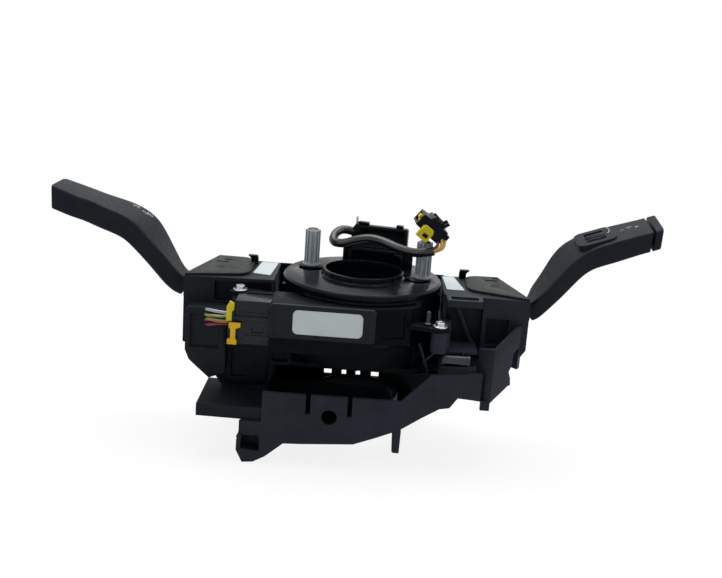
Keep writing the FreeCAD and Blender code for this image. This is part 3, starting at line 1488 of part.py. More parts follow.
def squib_block():
    """Connector block on the rotor disc: a low body, a high back wall and two hooks."""
    body = turned_body("squib_block")
    back = block_front + block_depth
    top = disc_top + block_wall_height
    pad(body, "XY", disc_top, disc_top + block_height, polygon(
        (block_left, block_front + 2), (block_left + 3, block_front), (block_right - 5, block_front - 1),
        (block_right, block_front + 3), (block_right - 1, back - 3), (block_right - 5, back),
        (block_left + 3, back), (block_left, back - 4),
    ))
    pad(body, "XZ", back - 5, back, polygon(
        (block_left + 4, disc_top), (block_right - 5, disc_top), (block_right - 5, top - 1), (block_right - 6, top),
        (block_left + 6, top), (block_left + 4, top - 4),
    ))
    cut(body, "XZ", back - 6, back - 3, rectangle(block_left + 11, disc_top + 14, block_right - 8, top - 3))
    for left, width in ((block_left + 8, 7), (block_right - 13, 4.5)):
        pad(body, "XZ", back - 3.5, back - 1, rectangle(left, top - 1, left + width, top + 2))
        pad(body, "XZ", back - 5, back - 3.5, rectangle(left, top + 0.8, left + width, top + 2))
    pad(body, "XZ", block_front - 2.4, block_front + 3, polygon(
        (block_right - 11, disc_top), (block_right - 6, disc_top), (block_right - 6, disc_top + 8),
        (block_right - 8, disc_top + 9), (block_right - 11, disc_top + 9),
    ))
    cut(body, "XZ", block_front - 3, block_front - 0.6, rectangle(
        block_right - 10, disc_top + 2, block_right - 7.5, disc_top + 6,
    ))
    for left in (-13, -5, 3):
        cut(body, "XZ", block_front - 2, block_front + 0.8, rectangle(left, disc_top + 2, left + 6, disc_top + 8))
    return body


def block_pin():
    """Pale coding pin in the top of the block's back wall."""
    body = turned_body("block_pin")
    top = disc_top + block_wall_height
    revolve(body, (0, top), (0.8, top), (0.8, top + 4.6), (0.4, top + 5.4), (0, top + 5.4))
    x, y = turned(block_left + 6.8, block_front + block_depth - 2.4)
    seat_on_rotor(body, x, y)
    return body


# Control points of the airbag lead, in the place where it lies at rest
lead_route = (
    (-8.0, 37.7, 107.0), (-14.0, 36.6, 108.6), (-19.2, 31.5, 107.2), (-20.0, 25.0, 104.6), (-14.2, 20.0, 105.4),
    (-5.5, 17.6, 108.8), (3.0, 15.8, 110.8), (12.5, 12.0, 109.4), (21.5, 5.0, 107.2), (29.5, -3.0, 106.3),
    (36.5, -7.4, 106.9), (42.5, -8.2, 108.4),
)
lead_wire_routes = {
    "lead_wire_tan": ((42.0, -9.4, 108.4), (45.2, -9.8, 110.0), (47.2, -8.4, 112.6), (46.6, -5.6, 115.6)),
    "lead_wire_brown": ((42.0, -7.6, 109.4), (44.2, -7.6, 111.2), (44.8, -6.4, 113.4), (43.8, -4.6, 115.6)),
    "lead_wire_yellow": ((42.0, -7.2, 107.3), (46.6, -7.0, 108.8), (49.0, -5.6, 111.6), (48.6, -3.6, 115.2)),
}


def airbag_lead():
    cord_tube("lead_sleeve", [Vector(*point) for point in lead_route], lead_diameter)
    for label, route in lead_wire_routes.items():
        cord_tube(label, [Vector(*point) for point in route], lead_wire_diameter)


def connector_frame(label):
    """A body of the airbag connector: its own X runs along the plug, leaning up to the left."""
    body = new_body(label)
    body.Placement = FreeCAD.Placement(
        Vector(40, -1, 122.4), FreeCAD.Rotation(Vector(0, 1, 0), 38) * FreeCAD.Rotation(Vector(0, 0, 1), 8),
    )
    return body


def airbag_connector():
    """Two-row connector with a latch ramp, guide ribs and a stepped back end."""
    body = connector_frame("airbag_connector")
    pad(body, "XZ", -7, 6, polygon(
        (-10, -4.5), (4, -5.5), (9, -5.5), (9, 4), (3, 4), (2, 6), (-4, 6), (-5, 4), (-10, 3.5),
    ))
    cut(body, "YZ", -11, -4, rectangle(-5.2, -3, 4.4, 2.4))
    for y in (-4, 2.2):
        pad(body, "XZ", y, y + 1.6, polygon((-3, 5.5), (6, 3.8), (7.5, 8), (5.8, 8.6), (4.6, 6.4), (-3, 7.2)))
    pad(body, "YZ", 9, 12, rectangle(-5.5, -4.2, 4.5, 2.6))
    return body


def connector_locks():
    insert = connector_frame("connector_insert")
    pad(insert, "YZ", -11.2, -4.4, rectangle(-4.8, -0.6, -1.2, 2.0))
    pad(insert, "YZ", -8.5, -4.4, rectangle(-4.8, -2.6, 4.0, -0.4))
    lock = connector_frame("connector_lock")
    pad(lock, "XZ", -10, -7, polygon((-6.4, -9), (1.6, -9), (1.6, -2.4), (0.4, -0.4), (-5, -0.4), (-6.4, -2)))
    cut(lock, "XZ", -11, -6, rectangle(-3.6, -7, 0, -4.6))


def build():
    rotor_disc()
    rotor_hub()
    drive_post("left_drive_post", -1)
    drive_post("right_drive_post", 1)
    sensor_gears()
    sensor_housing()
    sensor_base()
    sensor_board()
    stator_casing()
    stator_base()
    ribbon_cable()
    column_collar()
    base_bracket()
    tub_walls()
    cross_wall()
    deck_plate()
    front_apron()
    side_shelf()
    left_switch_housing()
    right_switch_housing()
    switch_cover("left_switch_cover", left_outer, left_cover_tip, left_pivot, left_slant, left_back)
    switch_cover("right_switch_cover", right_outer, right_cover_tip, right_pivot, right_slant, right_back)
    cover_latches()
    blank_labels()
    yoke("left_yoke", left_pivot)
    yoke("right_yoke", right_pivot)
    left_stalk()
    right_stalk()
    interval_wheel()
    end_button()
    control_module_housing()
    control_module_cover()
    plug_header()
    harness_plug()
    plug_locks()
    harness_wires()
    module_screws()
    locating_pin()
    squib_block()
    block_pin()
    airbag_lead()
    airbag_connector()
    connector_locks()


def sub_parts():
    kinds = ("PartDesign::Body", "Part::Feature")
    return [item for item in doc.Objects if item.TypeId in kinds]


def check():
    """Stops if an object failed, a sub-part has no valid solid or a pocket cut nothing."""
    for item in doc.Objects:
        if "Invalid" in item.State or "Error" in item.State:
            raise ValueError(f"{item.Name} failed: {item.State}")
    for item in sub_parts():
        if item.Shape.isNull() or not item.Shape.isValid() or not item.Shape.Solids:
            raise ValueError(f"{item.Label} has no valid solid")
    for feature in cut_features:
        if feature.Shape.Volume > feature.BaseFeature.Shape.Volume - 0.001:
            raise ValueError(f"{feature.Name} in {feature.getParentGeoFeatureGroup().Label} cuts nothing")


build()
doc.recompute()
check()
os.makedirs("parts", exist_ok=True)
for item in sub_parts():
    item.Shape.exportStep(f"parts/{item.Label}.step")
    print(f"{item.Label}: {len(item.Shape.Solids)} solid(s), {item.Shape.Volume:.0f} mm3")
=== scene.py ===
# %% [markdown]
# # Steering column switch module with its clock spring
#
# The object is a black moulded module that sits on a steering column. A round rotor in the
# middle turns with the steering wheel, two paddles stand out to the sides, and a control
# module with a harness plug sits in front. The solids come in as a fixed frame. Everything
# here gives them their finish: soft moulded edges, plastics, wires, labels and light.

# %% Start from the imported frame
import json
import math

import bmesh
import bpy
from mathutils import Matrix, Vector
from mathutils.bvhtree import BVHTree


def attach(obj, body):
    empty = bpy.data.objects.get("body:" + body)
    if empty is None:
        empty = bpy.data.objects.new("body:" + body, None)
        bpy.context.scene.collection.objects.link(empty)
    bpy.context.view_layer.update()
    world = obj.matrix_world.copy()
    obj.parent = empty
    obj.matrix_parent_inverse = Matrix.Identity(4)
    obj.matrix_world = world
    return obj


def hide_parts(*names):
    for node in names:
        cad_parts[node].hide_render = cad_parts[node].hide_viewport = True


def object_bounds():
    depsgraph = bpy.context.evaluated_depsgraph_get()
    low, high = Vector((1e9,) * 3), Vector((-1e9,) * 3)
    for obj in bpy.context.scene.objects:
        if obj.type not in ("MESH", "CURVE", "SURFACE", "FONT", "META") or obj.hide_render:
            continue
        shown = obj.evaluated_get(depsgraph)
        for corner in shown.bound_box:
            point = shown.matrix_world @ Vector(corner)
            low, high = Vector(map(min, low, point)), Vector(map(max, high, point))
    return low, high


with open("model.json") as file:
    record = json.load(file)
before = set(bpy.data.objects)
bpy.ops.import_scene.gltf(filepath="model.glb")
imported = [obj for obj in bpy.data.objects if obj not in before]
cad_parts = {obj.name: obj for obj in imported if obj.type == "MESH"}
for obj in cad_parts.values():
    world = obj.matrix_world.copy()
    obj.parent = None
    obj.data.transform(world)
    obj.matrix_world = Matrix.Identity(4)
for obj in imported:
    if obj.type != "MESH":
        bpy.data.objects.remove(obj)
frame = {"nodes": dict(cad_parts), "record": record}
cad_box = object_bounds()
nodes = frame["nodes"]
body_of_node = {
    node: body
    for body, members in frame["record"]["behaviour"]["bodies"].items()
    for node in members
}
MM = 0.001

# %% [markdown]
# ## The camera
#
# The photograph looks down on the disc by about fifteen degrees from in front, and the camera
# was held a little tilted. Three turns say that best: round the column, up, and round the
# view's own axis. The camera then backs away from its aim point by its distance.

# %% Camera
ELEVATION = math.radians(15.2)
AZIMUTH = math.radians(0.5)
TILT = math.radians(4.0)
DISTANCE = 650 * MM
AIM_LEFT_MM = 0.995
AIM_DOWN_MM = 8.708
SENSOR_MM = 36
FOCAL_MM = 52.1

turn = (
    Matrix.Rotation(AZIMUTH, 4, "Z")
    @ Matrix.Rotation(math.pi / 2 - ELEVATION, 4, "X")
    @ Matrix.Rotation(TILT, 4, "Z")
)
right, up, back = (turn.to_3x3().col[i] for i in range(3))
disc_centre = Vector((0, 0, 88)) * MM
aim = disc_centre - right * AIM_LEFT_MM * MM - up * AIM_DOWN_MM * MM
lens = bpy.data.cameras.new("camera")
lens.sensor_width = SENSOR_MM
lens.lens = FOCAL_MM
lens.clip_start = 0.01
camera = bpy.data.objects.new("camera", lens)
camera.matrix_world = Matrix.Translation(aim + back * DISTANCE) @ turn
bpy.context.collection.objects.link(camera)
bpy.context.scene.camera = camera
print("camera at", [round(value, 3) for value in camera.matrix_world.translation])

# %% [markdown]
# ## Cords
#
# A cord is a smooth NURBS line with a round bevel. Its control points are the corners of the same route
# that the solid follows, so the line stays beside the solid and bends like a lead and not like wire. The
# airbag lead leaves the connector block, loops over the disc and ends in a small connector. Its three
# wires and the four cut harness wires are short, and like the lead they only ride on their bodies.

# %% Draw a cord
def cord_line(name, body, diameter, points, *stands_for):
    curve = bpy.data.curves.new(name, "CURVE")
    curve.dimensions = "3D"
    spline = curve.splines.new("NURBS")
    spline.points.add(len(points) - 1)
    for point, place in zip(spline.points, points):
        point.co = (*place, 1)
        point.radius = diameter / 2
    spline.order_u = 3
    spline.use_endpoint_u = True
    spline.resolution_u = 12
    curve.bevel_depth = 1
    curve.bevel_resolution = 5
    curve.use_fill_caps = True
    line = bpy.data.objects.new(name, curve)
    bpy.context.collection.objects.link(line)
    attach(line, body)
    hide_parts(*stands_for)
    return line


# %% The airbag lead and its three wires
LEAD_DIAMETER = 0.0056
LEAD_WIRE_DIAMETER = 0.0019
HARNESS_WIRE_DIAMETER = 0.0018
lead_points = (
    (-0.0080, 0.0377, 0.1070), (-0.0140, 0.0366, 0.1090), (-0.0198, 0.0312, 0.1070),
    (-0.0212, 0.0240, 0.1024), (-0.0142, 0.0190, 0.1026), (-0.0055, 0.0170, 0.1064),
    (0.0030, 0.0158, 0.1084), (0.0125, 0.0120, 0.1072), (0.0215, 0.0050, 0.1052),
    (0.0295, -0.0030, 0.1051), (0.0365, -0.0074, 0.1066), (0.0425, -0.0082, 0.1084),
)
lead = cord_line("airbag_lead", "rotor", LEAD_DIAMETER, lead_points, "lead_sleeve")
lead_wires = {
    "tan": ((0.0420, -0.0094, 0.1084), (0.0452, -0.0098, 0.1100), (0.0472, -0.0084, 0.1126),
            (0.0466, -0.0056, 0.1156)),
    "brown": ((0.0420, -0.0076, 0.1094), (0.0442, -0.0076, 0.1112), (0.0448, -0.0064, 0.1134),
              (0.0438, -0.0046, 0.1156)),
    "yellow": ((0.0420, -0.0072, 0.1073), (0.0466, -0.0070, 0.1088), (0.0490, -0.0056, 0.1116),
               (0.0486, -0.0036, 0.1152)),
}
wires = {
    colour: cord_line(
        f"lead_wire_{colour}_line", "rotor", LEAD_WIRE_DIAMETER, points, f"lead_wire_{colour}",
    )
    for colour, points in lead_wires.items()
}

# %% The four cut wires of the harness plug
harness_points = {
    "white": ((-0.0740, -0.0460, 0.0710), (-0.0810, -0.0466, 0.0716), (-0.0865, -0.0454, 0.0720),
              (-0.0900, -0.0414, 0.0712), (-0.0908, -0.0364, 0.0696)),
    "green": ((-0.0740, -0.0434, 0.0685), (-0.0805, -0.0446, 0.0681), (-0.0855, -0.0444, 0.0683),
              (-0.0894, -0.0418, 0.0677), (-0.0910, -0.0372, 0.0667)),
    "brown": ((-0.0740, -0.0460, 0.0661), (-0.0810, -0.0468, 0.0659), (-0.0860, -0.0458, 0.0665),
              (-0.0896, -0.0422, 0.0655), (-0.0906, -0.0376, 0.0635)),
    "red": ((-0.0740, -0.0434, 0.0635), (-0.0805, -0.0448, 0.0643), (-0.0855, -0.0446, 0.0631),
            (-0.0890, -0.0420, 0.0619), (-0.0904, -0.0376, 0.0605)),
}
for colour, points in harness_points.items():
    wires[f"harness_{colour}"] = cord_line(
        f"harness_wire_{colour}_line", "column_module", HARNESS_WIRE_DIAMETER, points,
        f"harness_wire_{colour}",
    )
print(len(wires), "thin wires and one sleeve")

# %% [markdown]
# ## Colours and nodes
#
# Paint shops and screens give a colour as a hex value in sRGB. The renderer works with linear
# light, so one function turns a hex value into linear numbers. A second one adds a shader node
# with its settings and its links, which keeps each material a short list.

# %% Colour and node helpers
def linear(shade):
    channels = [int(shade[i:i + 2], 16) / 255 for i in (1, 3, 5)]
    return (*(c / 12.92 if c <= 0.04045 else ((c + 0.055) / 1.055) ** 2.4 for c in channels), 1)


def node(tree, kind, values=None, links=None, **settings):
    made = tree.nodes.new(kind)
    for name, value in settings.items():
        setattr(made, name, value)
    for socket, value in (values or {}).items():
        made.inputs[socket].default_value = value
    for socket, source in (links or {}).items():
        tree.links.new(source, made.inputs[socket])
    return made


def per_metre(size_mm):
    """Scale of a noise whose spots are about this large."""
    return 1 / (size_mm * MM)


# %% [markdown]
# ## Moulded plastics
#
# Nearly all of the object is injection moulded. A spark-eroded mould leaves a fine matt grain,
# glass fibres in nylon give faint cloudy streaks, and handling rubs high spots smoother. So the
# material has three layers of noise: clouds of a centimetre or two in the colour, patches of a
# few millimetres in the roughness, and the grain itself in the bump.
#
# Black plastic in a white room is mostly what it mirrors. A level of 0.5 on the specular socket
# is a polished plastic. Matt moulded faces scatter most of that away, so the blacks here stay
# well below it, and they stay black from the front and turn grey only at a glance along them.

# %% A moulded plastic
CLOUD_MM = 16
PATCH_MM = 3
WEAR = 0.06


def moulded(name, dark, light, roughness, grain_mm, depth_mm, specular):
    material = bpy.data.materials.new(name)
    material.use_nodes = True
    tree = material.node_tree
    shader = tree.nodes["Principled BSDF"]
    place = node(tree, "ShaderNodeTexCoord").outputs["Object"]
    clouds = node(
        tree, "ShaderNodeTexNoise", {"Scale": per_metre(CLOUD_MM), "Detail": 5, "Roughness": 0.6},
        {"Vector": place},
    )
    spread = node(
        tree, "ShaderNodeMapRange", {"From Min": 0.35, "From Max": 0.65}, {"Value": clouds.outputs["Fac"]},
    )
    colour = node(
        tree, "ShaderNodeMix", {6: linear(dark), 7: linear(light)}, {0: spread.outputs["Result"]},
        data_type="RGBA",
    )
    patches = node(
        tree, "ShaderNodeTexNoise", {"Scale": per_metre(PATCH_MM), "Detail": 4}, {"Vector": place},
    )
    rough = node(
        tree, "ShaderNodeMapRange",
        {
            "From Min": 0.3, "From Max": 0.7,
            "To Min": roughness - WEAR, "To Max": roughness + WEAR,
        },
        {"Value": patches.outputs["Fac"]},
    )
    grain = node(
        tree, "ShaderNodeTexNoise", {"Scale": per_metre(grain_mm), "Detail": 3, "Roughness": 0.55},
        {"Vector": place},
    )
    bump = node(
        tree, "ShaderNodeBump", {"Strength": 0.6, "Distance": depth_mm * MM},
        {"Height": grain.outputs["Fac"]},
    )
    for socket, source in (
        ("Base Color", colour.outputs[2]), ("Roughness", rough.outputs["Result"]),
        ("Normal", bump.outputs["Normal"]),
    ):
        tree.links.new(source, shader.inputs[socket])
    shader.inputs["IOR"].default_value = 1.5
    shader.inputs["Specular IOR Level"].default_value = specular
    return material


# Glass-filled nylon, blue-black and matt: the left housing, the shelf and the yokes.
glass_nylon = moulded(
    "glass_filled_nylon_black", "#0d1217", "#141a20", roughness=0.5, grain_mm=0.6,
    depth_mm=0.02, specular=0.12,
)
# Painted light: the same nylon made a shade greyer where light falls full, for the apron and the right
# housing.
painted_lit_nylon = moulded(
    "glass_filled_nylon_painted_light", "#161c24", "#1f252e", roughness=0.52, grain_mm=0.6,
    depth_mm=0.02, specular=0.13,
)
# Painted shade: the same nylon made nearly black where shade falls, for the tub, the deck and the module's
# case.
painted_shade_nylon = moulded(
    "glass_filled_nylon_painted_shade", "#01050a", "#04090f", roughness=0.44, grain_mm=0.6,
    depth_mm=0.012, specular=0.05,
)
# ABS, black and smooth from a polished mould: the rotor, the casing and the connector block.
smooth_abs = moulded(
    "moulded_abs_black", "#02070d", "#050b12", roughness=0.22, grain_mm=0.9,
    depth_mm=0.003, specular=0.08,
)
# Polycarbonate blend, grey-green and satin: the two cover plates.
satin_cover = moulded(
    "satin_pc_abs_grey_green", "#171d1b", "#1f2523", roughness=0.5, grain_mm=0.5,
    depth_mm=0.02, specular=0.12,
)
# Grained PBT, soft black: the paddles.
grained_paddle = moulded(
    "grained_pbt_soft_black", "#0b1117", "#12181f", roughness=0.5, grain_mm=0.6,
    depth_mm=0.03, specular=0.12,
)
# PBT, dark grey from a plain mould: the module's face.
module_pbt = moulded(
    "moulded_pbt_dark_grey", "#0e1318", "#151b21", roughness=0.42, grain_mm=0.6,
    depth_mm=0.012, specular=0.13,
)
# PBT, dark grey and a little polished: the plug, whose top mirrors the room.
plug_pbt = moulded(
    "polished_pbt_dark_grey", "#0f1419", "#161c22", roughness=0.24, grain_mm=0.9,
    depth_mm=0.004, specular=0.2,
)
# PBT given a mid grey as painted light: the cable duct, lit as if light reached into the dark recess.
painted_lit_duct_pbt = moulded(
    "moulded_pbt_painted_light_grey", "#252b32", "#303740", roughness=0.3, grain_mm=0.9,
    depth_mm=0.004, specular=0.25,
)
# Acetal, natural light grey: the drive posts.
grey_acetal = moulded(
    "acetal_light_grey", "#848d94", "#a2abb1", roughness=0.36, grain_mm=0.5,
    depth_mm=0.012, specular=0.4,
)
# Acetal, natural white: gears and the coding pin.
white_acetal = moulded(
    "acetal_natural_white", "#cfcdc4", "#dedcd4", roughness=0.38, grain_mm=0.6,
    depth_mm=0.01, specular=0.5,
)
# Glass-filled polyester, yellow and amber: the plug locks.
yellow_lock = moulded(
    "pbt_yellow", "#c0b00a", "#ccbc12", roughness=0.4, grain_mm=0.5,
    depth_mm=0.012, specular=0.2,
)
amber_lock = moulded(
    "pbt_amber", "#c89f00", "#d4ab04", roughness=0.4, grain_mm=0.5,
    depth_mm=0.012, specular=0.2,
)
# Polyester film, bare and off-white: the labels.
label_film = moulded(
    "polyester_film_white", "#b0b9ba", "#bac3c4", roughness=0.42, grain_mm=1.2,
    depth_mm=0.004, specular=0.35,
)
# Fibreglass board with green resist, and the film of the flat cable.
board_resist = moulded(
    "board_green_resist", "#123c24", "#17492c", roughness=0.32, grain_mm=0.8,
    depth_mm=0.01, specular=0.5,
)
cable_film = moulded(
    "polyimide_film_brown", "#7a4a1c", "#8a5624", roughness=0.3, grain_mm=1.0,
    depth_mm=0.004, specular=0.5,
)

# %% [markdown]
# ## Cords, wires and metal
#
# The lead's sleeve is soft PVC tube, which shows long soft highlights and small wrinkles. The
# wires have smooth PVC insulation in their circuit colours. The screws are zinc plated steel:
# a metal keeps its default index and gets its look from colour and roughness alone.

# %% Sleeve, insulation and plating
pvc_sleeve = moulded(
    "pvc_sleeve_black", "#0c0e11", "#14171a", roughness=0.26, grain_mm=2.2,
    depth_mm=0.12, specular=0.42,
)
insulation = {
    wire: moulded(
        f"pvc_wire_{shade}", dark, light, roughness=0.34, grain_mm=0.8, depth_mm=0.01, specular=gloss,
    )
    for wire, shade, dark, light, gloss in (
        ("tan", "tan", "#b08655", "#c0965f", 0.5),
        ("brown", "brown", "#6b4327", "#7a4d2d", 0.5),
        ("yellow", "yellow", "#cfa91e", "#dcb92a", 0.5),
        ("harness_white", "mauve_grey", "#8d8693", "#a29ba8", 0.4),
        ("harness_green", "green", "#6f8138", "#8a9a45", 0.4),
        ("harness_brown", "orange_brown", "#8a5c34", "#9a6a3c", 0.4),
        ("harness_red", "red", "#641926", "#7a202f", 0.4),
    )
}
zinc_plate = moulded(
    "zinc_plated_steel", "#95989c", "#b5b8bb", roughness=0.28, grain_mm=0.6,
    depth_mm=0.006, specular=0.5,
)
dark_steel = moulded(
    "phosphated_steel", "#2b2d30", "#3c3f42", roughness=0.34, grain_mm=0.6,
    depth_mm=0.006, specular=0.5,
)
for metal in (zinc_plate, dark_steel):
    metal.node_tree.nodes["Principled BSDF"].inputs["Metallic"].default_value = 1
lead.data.materials.append(pvc_sleeve)
for name, line in wires.items():
    line.data.materials.append(insulation[name])
print(len(bpy.data.materials), "materials so far")

# %% [markdown]
# ## Soft edges on the solids
#
# No moulded edge is razor sharp: the tool leaves a radius of a few tenths of a millimetre, and
# that radius is what catches the light. The solids have sharp edges, so each one is copied, its
# doubled corners are merged, its flat faces are joined again, and a bevel modifier rounds every
# edge that turns by more than the set angle. The copy rides on the same body and stands for the
# solid.

# %% Two solids are changed on the way: the tub's windows change shape, and the module face's lower lip gets painted shade
WINDOW_MIDDLES_MM = (-19.0, -8.2, 1.1, 12.5)
WINDOW_HALF_MM = 3.6
WINDOW_SHRINK = 0.74
WINDOW_FOOT_MM, WINDOW_HEAD_MM = 13, 17.2
FOOT_DROP_MM, HEAD_DROP_MM = 2.4, 0.5
BACK_WALL_MM = 29
LIP_SHADE_TOP = 61.8 * MM


def lower_windows(shape):
    """The four windows in the tub's back wall are a little narrower and lower than the solid's."""
    for vert in shape.verts:
        in_band = vert.co.y > BACK_WALL_MM * MM and WINDOW_FOOT_MM < vert.co.z / MM < WINDOW_HEAD_MM
        middle = min(WINDOW_MIDDLES_MM, key=lambda place: abs(vert.co.x / MM - place))
        aside = vert.co.x / MM - middle
        if in_band and abs(aside) < WINDOW_HALF_MM:
            vert.co.x = (middle + WINDOW_SHRINK * aside) * MM
            vert.co.z -= (FOOT_DROP_MM if vert.co.z / MM < WINDOW_FOOT_MM + 1 else HEAD_DROP_MM) * MM


def paint_lip_shade(shape):
    """The face's lower lip gets painted shade: the same nearly black nylon as the case that it snaps on.
    """
    bmesh.ops.bisect_plane(
        shape, geom=shape.verts[:] + shape.edges[:] + shape.faces[:], dist=0.001 * MM,
        plane_co=(0, 0, LIP_SHADE_TOP), plane_no=(0, 0, 1),
    )
    for face in shape.faces:
        if face.calc_center_median().z < LIP_SHADE_TOP:
            face.material_index = 1


reshaped_or_shaded = {"tub_walls": lower_windows, "control_module_cover": paint_lip_shade}


# %% Copy a solid with rounded edges
SAME_CORNER = 0.002 * MM
STILL_FLAT = math.radians(0.6)
ROUNDED_ANGLE = math.radians(34)
EDGE_ROWS = 3


def solid_copy(name):
    """A bmesh of a solid, with its doubled corners merged and its flat faces joined again."""
    shape = bmesh.new()
    shape.from_mesh(nodes[name].data)
    bmesh.ops.remove_doubles(shape, verts=shape.verts, dist=SAME_CORNER)
    bmesh.ops.dissolve_limit(
        shape, angle_limit=STILL_FLAT, use_dissolve_boundaries=False, verts=shape.verts,
        edges=shape.edges,
    )
    return shape


def placed(shape, name):
    """The finished bmesh as an object of the scene."""
    mesh = bpy.data.meshes.new(name)
    shape.to_mesh(mesh)
    shape.free()
    made = bpy.data.objects.new(name, mesh)
    bpy.context.collection.objects.link(made)
    return made


def softened(name, material, radius_mm):
    shape = solid_copy(name)
    if name in reshaped_or_shaded:
        reshaped_or_shaded[name](shape)
    piece = placed(shape, f"{name}_looks")
    piece.data.shade_smooth()
    rounding = piece.modifiers.new("moulded edge", "BEVEL")
    rounding.width = radius_mm * MM
    rounding.segments = EDGE_ROWS
    rounding.limit_method = "ANGLE"
    rounding.angle_limit = ROUNDED_ANGLE
    rounding.harden_normals = True
    piece.data.materials.append(material)
    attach(piece, body_of_node[name])
    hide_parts(name)
    return piece


# %% Every rigid solid with its finish and edge radius
finishes = {
    glass_nylon: (
        ("side_shelf", 0.6), ("left_switch_housing", 0.6), ("left_yoke", 0.3), ("right_yoke", 0.3),
    ),
    # Painted light: the apron and the right housing get the lighter copy of the nylon.
    painted_lit_nylon: (("front_apron", 0.6), ("right_switch_housing", 0.5)),
    # Painted shade: these get the nearly black copy of the nylon.
    painted_shade_nylon: (
        ("column_collar", 0.5), ("base_bracket", 0.4), ("tub_walls", 0.4), ("cross_wall", 0.3),
        ("deck_plate", 0.4), ("sensor_housing", 0.3), ("sensor_base", 0.3),
        ("control_module_housing", 0.5),
    ),
    module_pbt: (("control_module_cover", 0.5),),
    plug_pbt: (("plug_header", 0.5), ("harness_plug", 0.25)),
    smooth_abs: (
        ("rotor_disc", 0.4), ("rotor_hub", 0.3), ("stator_casing", 0.4), ("stator_base", 0.3),
        ("squib_block", 0.4), ("airbag_connector", 0.3),
    ),
    satin_cover: (("left_switch_cover", 0.5), ("right_switch_cover", 0.5)),
    grained_paddle: (
        ("left_stalk", 0.7), ("right_stalk", 0.7), ("interval_wheel", 0.15), ("end_button", 2.2),
    ),
    grey_acetal: (("left_drive_post", 0.15), ("right_drive_post", 0.15)),
    white_acetal: (
        ("sensor_ring_gear", 0.1), ("sensor_pinion_one", 0.1), ("sensor_pinion_two", 0.1),
        ("block_pin", 0.1),
    ),
    yellow_lock: (("plug_side_lock", 0.15), ("connector_insert", 0.15), ("connector_lock", 0.15)),
    amber_lock: (("plug_front_lock", 0.15),),
    zinc_plate: (("module_screws", 0.25),),
    dark_steel: (("locating_pin", 0.25),),
    board_resist: (("sensor_board", 0.15),),
    cable_film: (("ribbon_cable", 0.05),),
}
looks = {}
for material, members in finishes.items():
    for name, radius in members:
        looks[name] = softened(name, material, radius)
# The face's second slot: the painted-shade black of its lower lip.
looks["control_module_cover"].data.materials.append(painted_shade_nylon)
print(len(looks), "softened solids")

# %% [markdown]
# ## Grooves of the drive posts
#
# Each post is a pin with ribs. Its ribs catch the light, and its grooves are painted darker as shade with
# some grease in them, so the colour follows the distance from the post's own axis: dark at the groove's
# floor and light at the rib's crest. A Vector Math node takes the axis away first.

# %% Painted groove shade: darker by the distance from an axis
def paint_groove_shade(material, axis, floor_mm, crest_mm, dark):
    tree = material.node_tree
    shader = tree.nodes["Principled BSDF"]
    plain = shader.inputs["Base Color"].links[0].from_socket
    place = node(tree, "ShaderNodeTexCoord").outputs["Object"]
    aside = node(tree, "ShaderNodeVectorMath", {1: axis}, {0: place}, operation="SUBTRACT")
    flat = node(
        tree, "ShaderNodeVectorMath", {1: (1, 1, 0)}, {0: aside.outputs["Vector"]},
        operation="MULTIPLY",
    )
    reach = node(tree, "ShaderNodeVectorMath", links={0: flat.outputs["Vector"]}, operation="LENGTH")
    share = node(
        tree, "ShaderNodeMapRange", {"From Min": floor_mm * MM, "From Max": crest_mm * MM},
        {"Value": reach.outputs["Value"]},
    )
    mixed = node(
        tree, "ShaderNodeMix", {6: linear(dark)}, {0: share.outputs["Result"], 7: plain},
        data_type="RGBA",
    )
    tree.links.new(mixed.outputs[2], shader.inputs["Base Color"])


GROOVE_MM = 3.4
CREST_MM = 4.0
for post in ("left_drive_post", "right_drive_post"):
    xs = [vert.co.x for vert in nodes[post].data.vertices]
    ys = [vert.co.y for vert in nodes[post].data.vertices]
    groove_shaded = grey_acetal.copy()
    groove_shaded.name = f"{post}_groove_shaded_acetal"
    axis = ((min(xs) + max(xs)) / 2, (min(ys) + max(ys)) / 2, 0)
    # Painted shade in the grooves of the post.
    paint_groove_shade(groove_shaded, axis, GROOVE_MM, CREST_MM, "#30363c")
    looks[post].data.materials[0] = groove_shaded
print("posts grooved")

# %% [markdown]
# ## The bare labels
#
# A label is a sheet of film with rounded corners. The solid plates have square corners, so the
# upright corner edges of a copy are bevelled wide in one step: an edge is a corner of the label
# when it is as short as the film is thick.

# %% Labels with round corners
MODULE_FACE = -56.5 * MM
FILM_EDGE = 0.4 * MM
shape = solid_copy("blank_labels")
face_label = [vert for vert in shape.verts if vert.co.y < MODULE_FACE]
bmesh.ops.scale(
    shape, verts=face_label, vec=(1.17, 1, 1.04), space=Matrix.Translation(Vector((17.5, 0, -72)) * MM),
)
corners = [edge for edge in shape.edges if edge.calc_length() < FILM_EDGE]
for wide, on_face in ((3.0, True), (1.2, False)):
    chosen = [
        edge for edge in corners if edge.is_valid and (edge.verts[0].co.y < MODULE_FACE) == on_face
    ]
    bmesh.ops.bevel(
        shape, geom=chosen, offset=wide * MM, offset_type="OFFSET", segments=6, profile=0.5,
        material=-1, affect="EDGES",
    )
labels = placed(shape, "bare_labels")
labels.data.materials.append(label_film)
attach(labels, "column_module")
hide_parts("blank_labels")
print(len(corners), "label corners rounded")

# %% [markdown]
# ## Small moulded details
#
# Some small forms are easier to shape as a mesh than as a solid: the two cover hooks, the panel that
# closes the module's sloping end, the webs behind the gaps, the forked strut, thin dark sheets of painted
# shade in the pockets at the posts' feet, the rail on the plug, the cable duct in the right housing, and
# the dark slot of the connector's lock. Each starts from one cube or circle, is extruded, turned or scaled
# to its shape, and most get their edges bevelled. The panel, the webs and the sheets take the
# painted-shade black of the nylon, and the duct takes a painted-light grey.

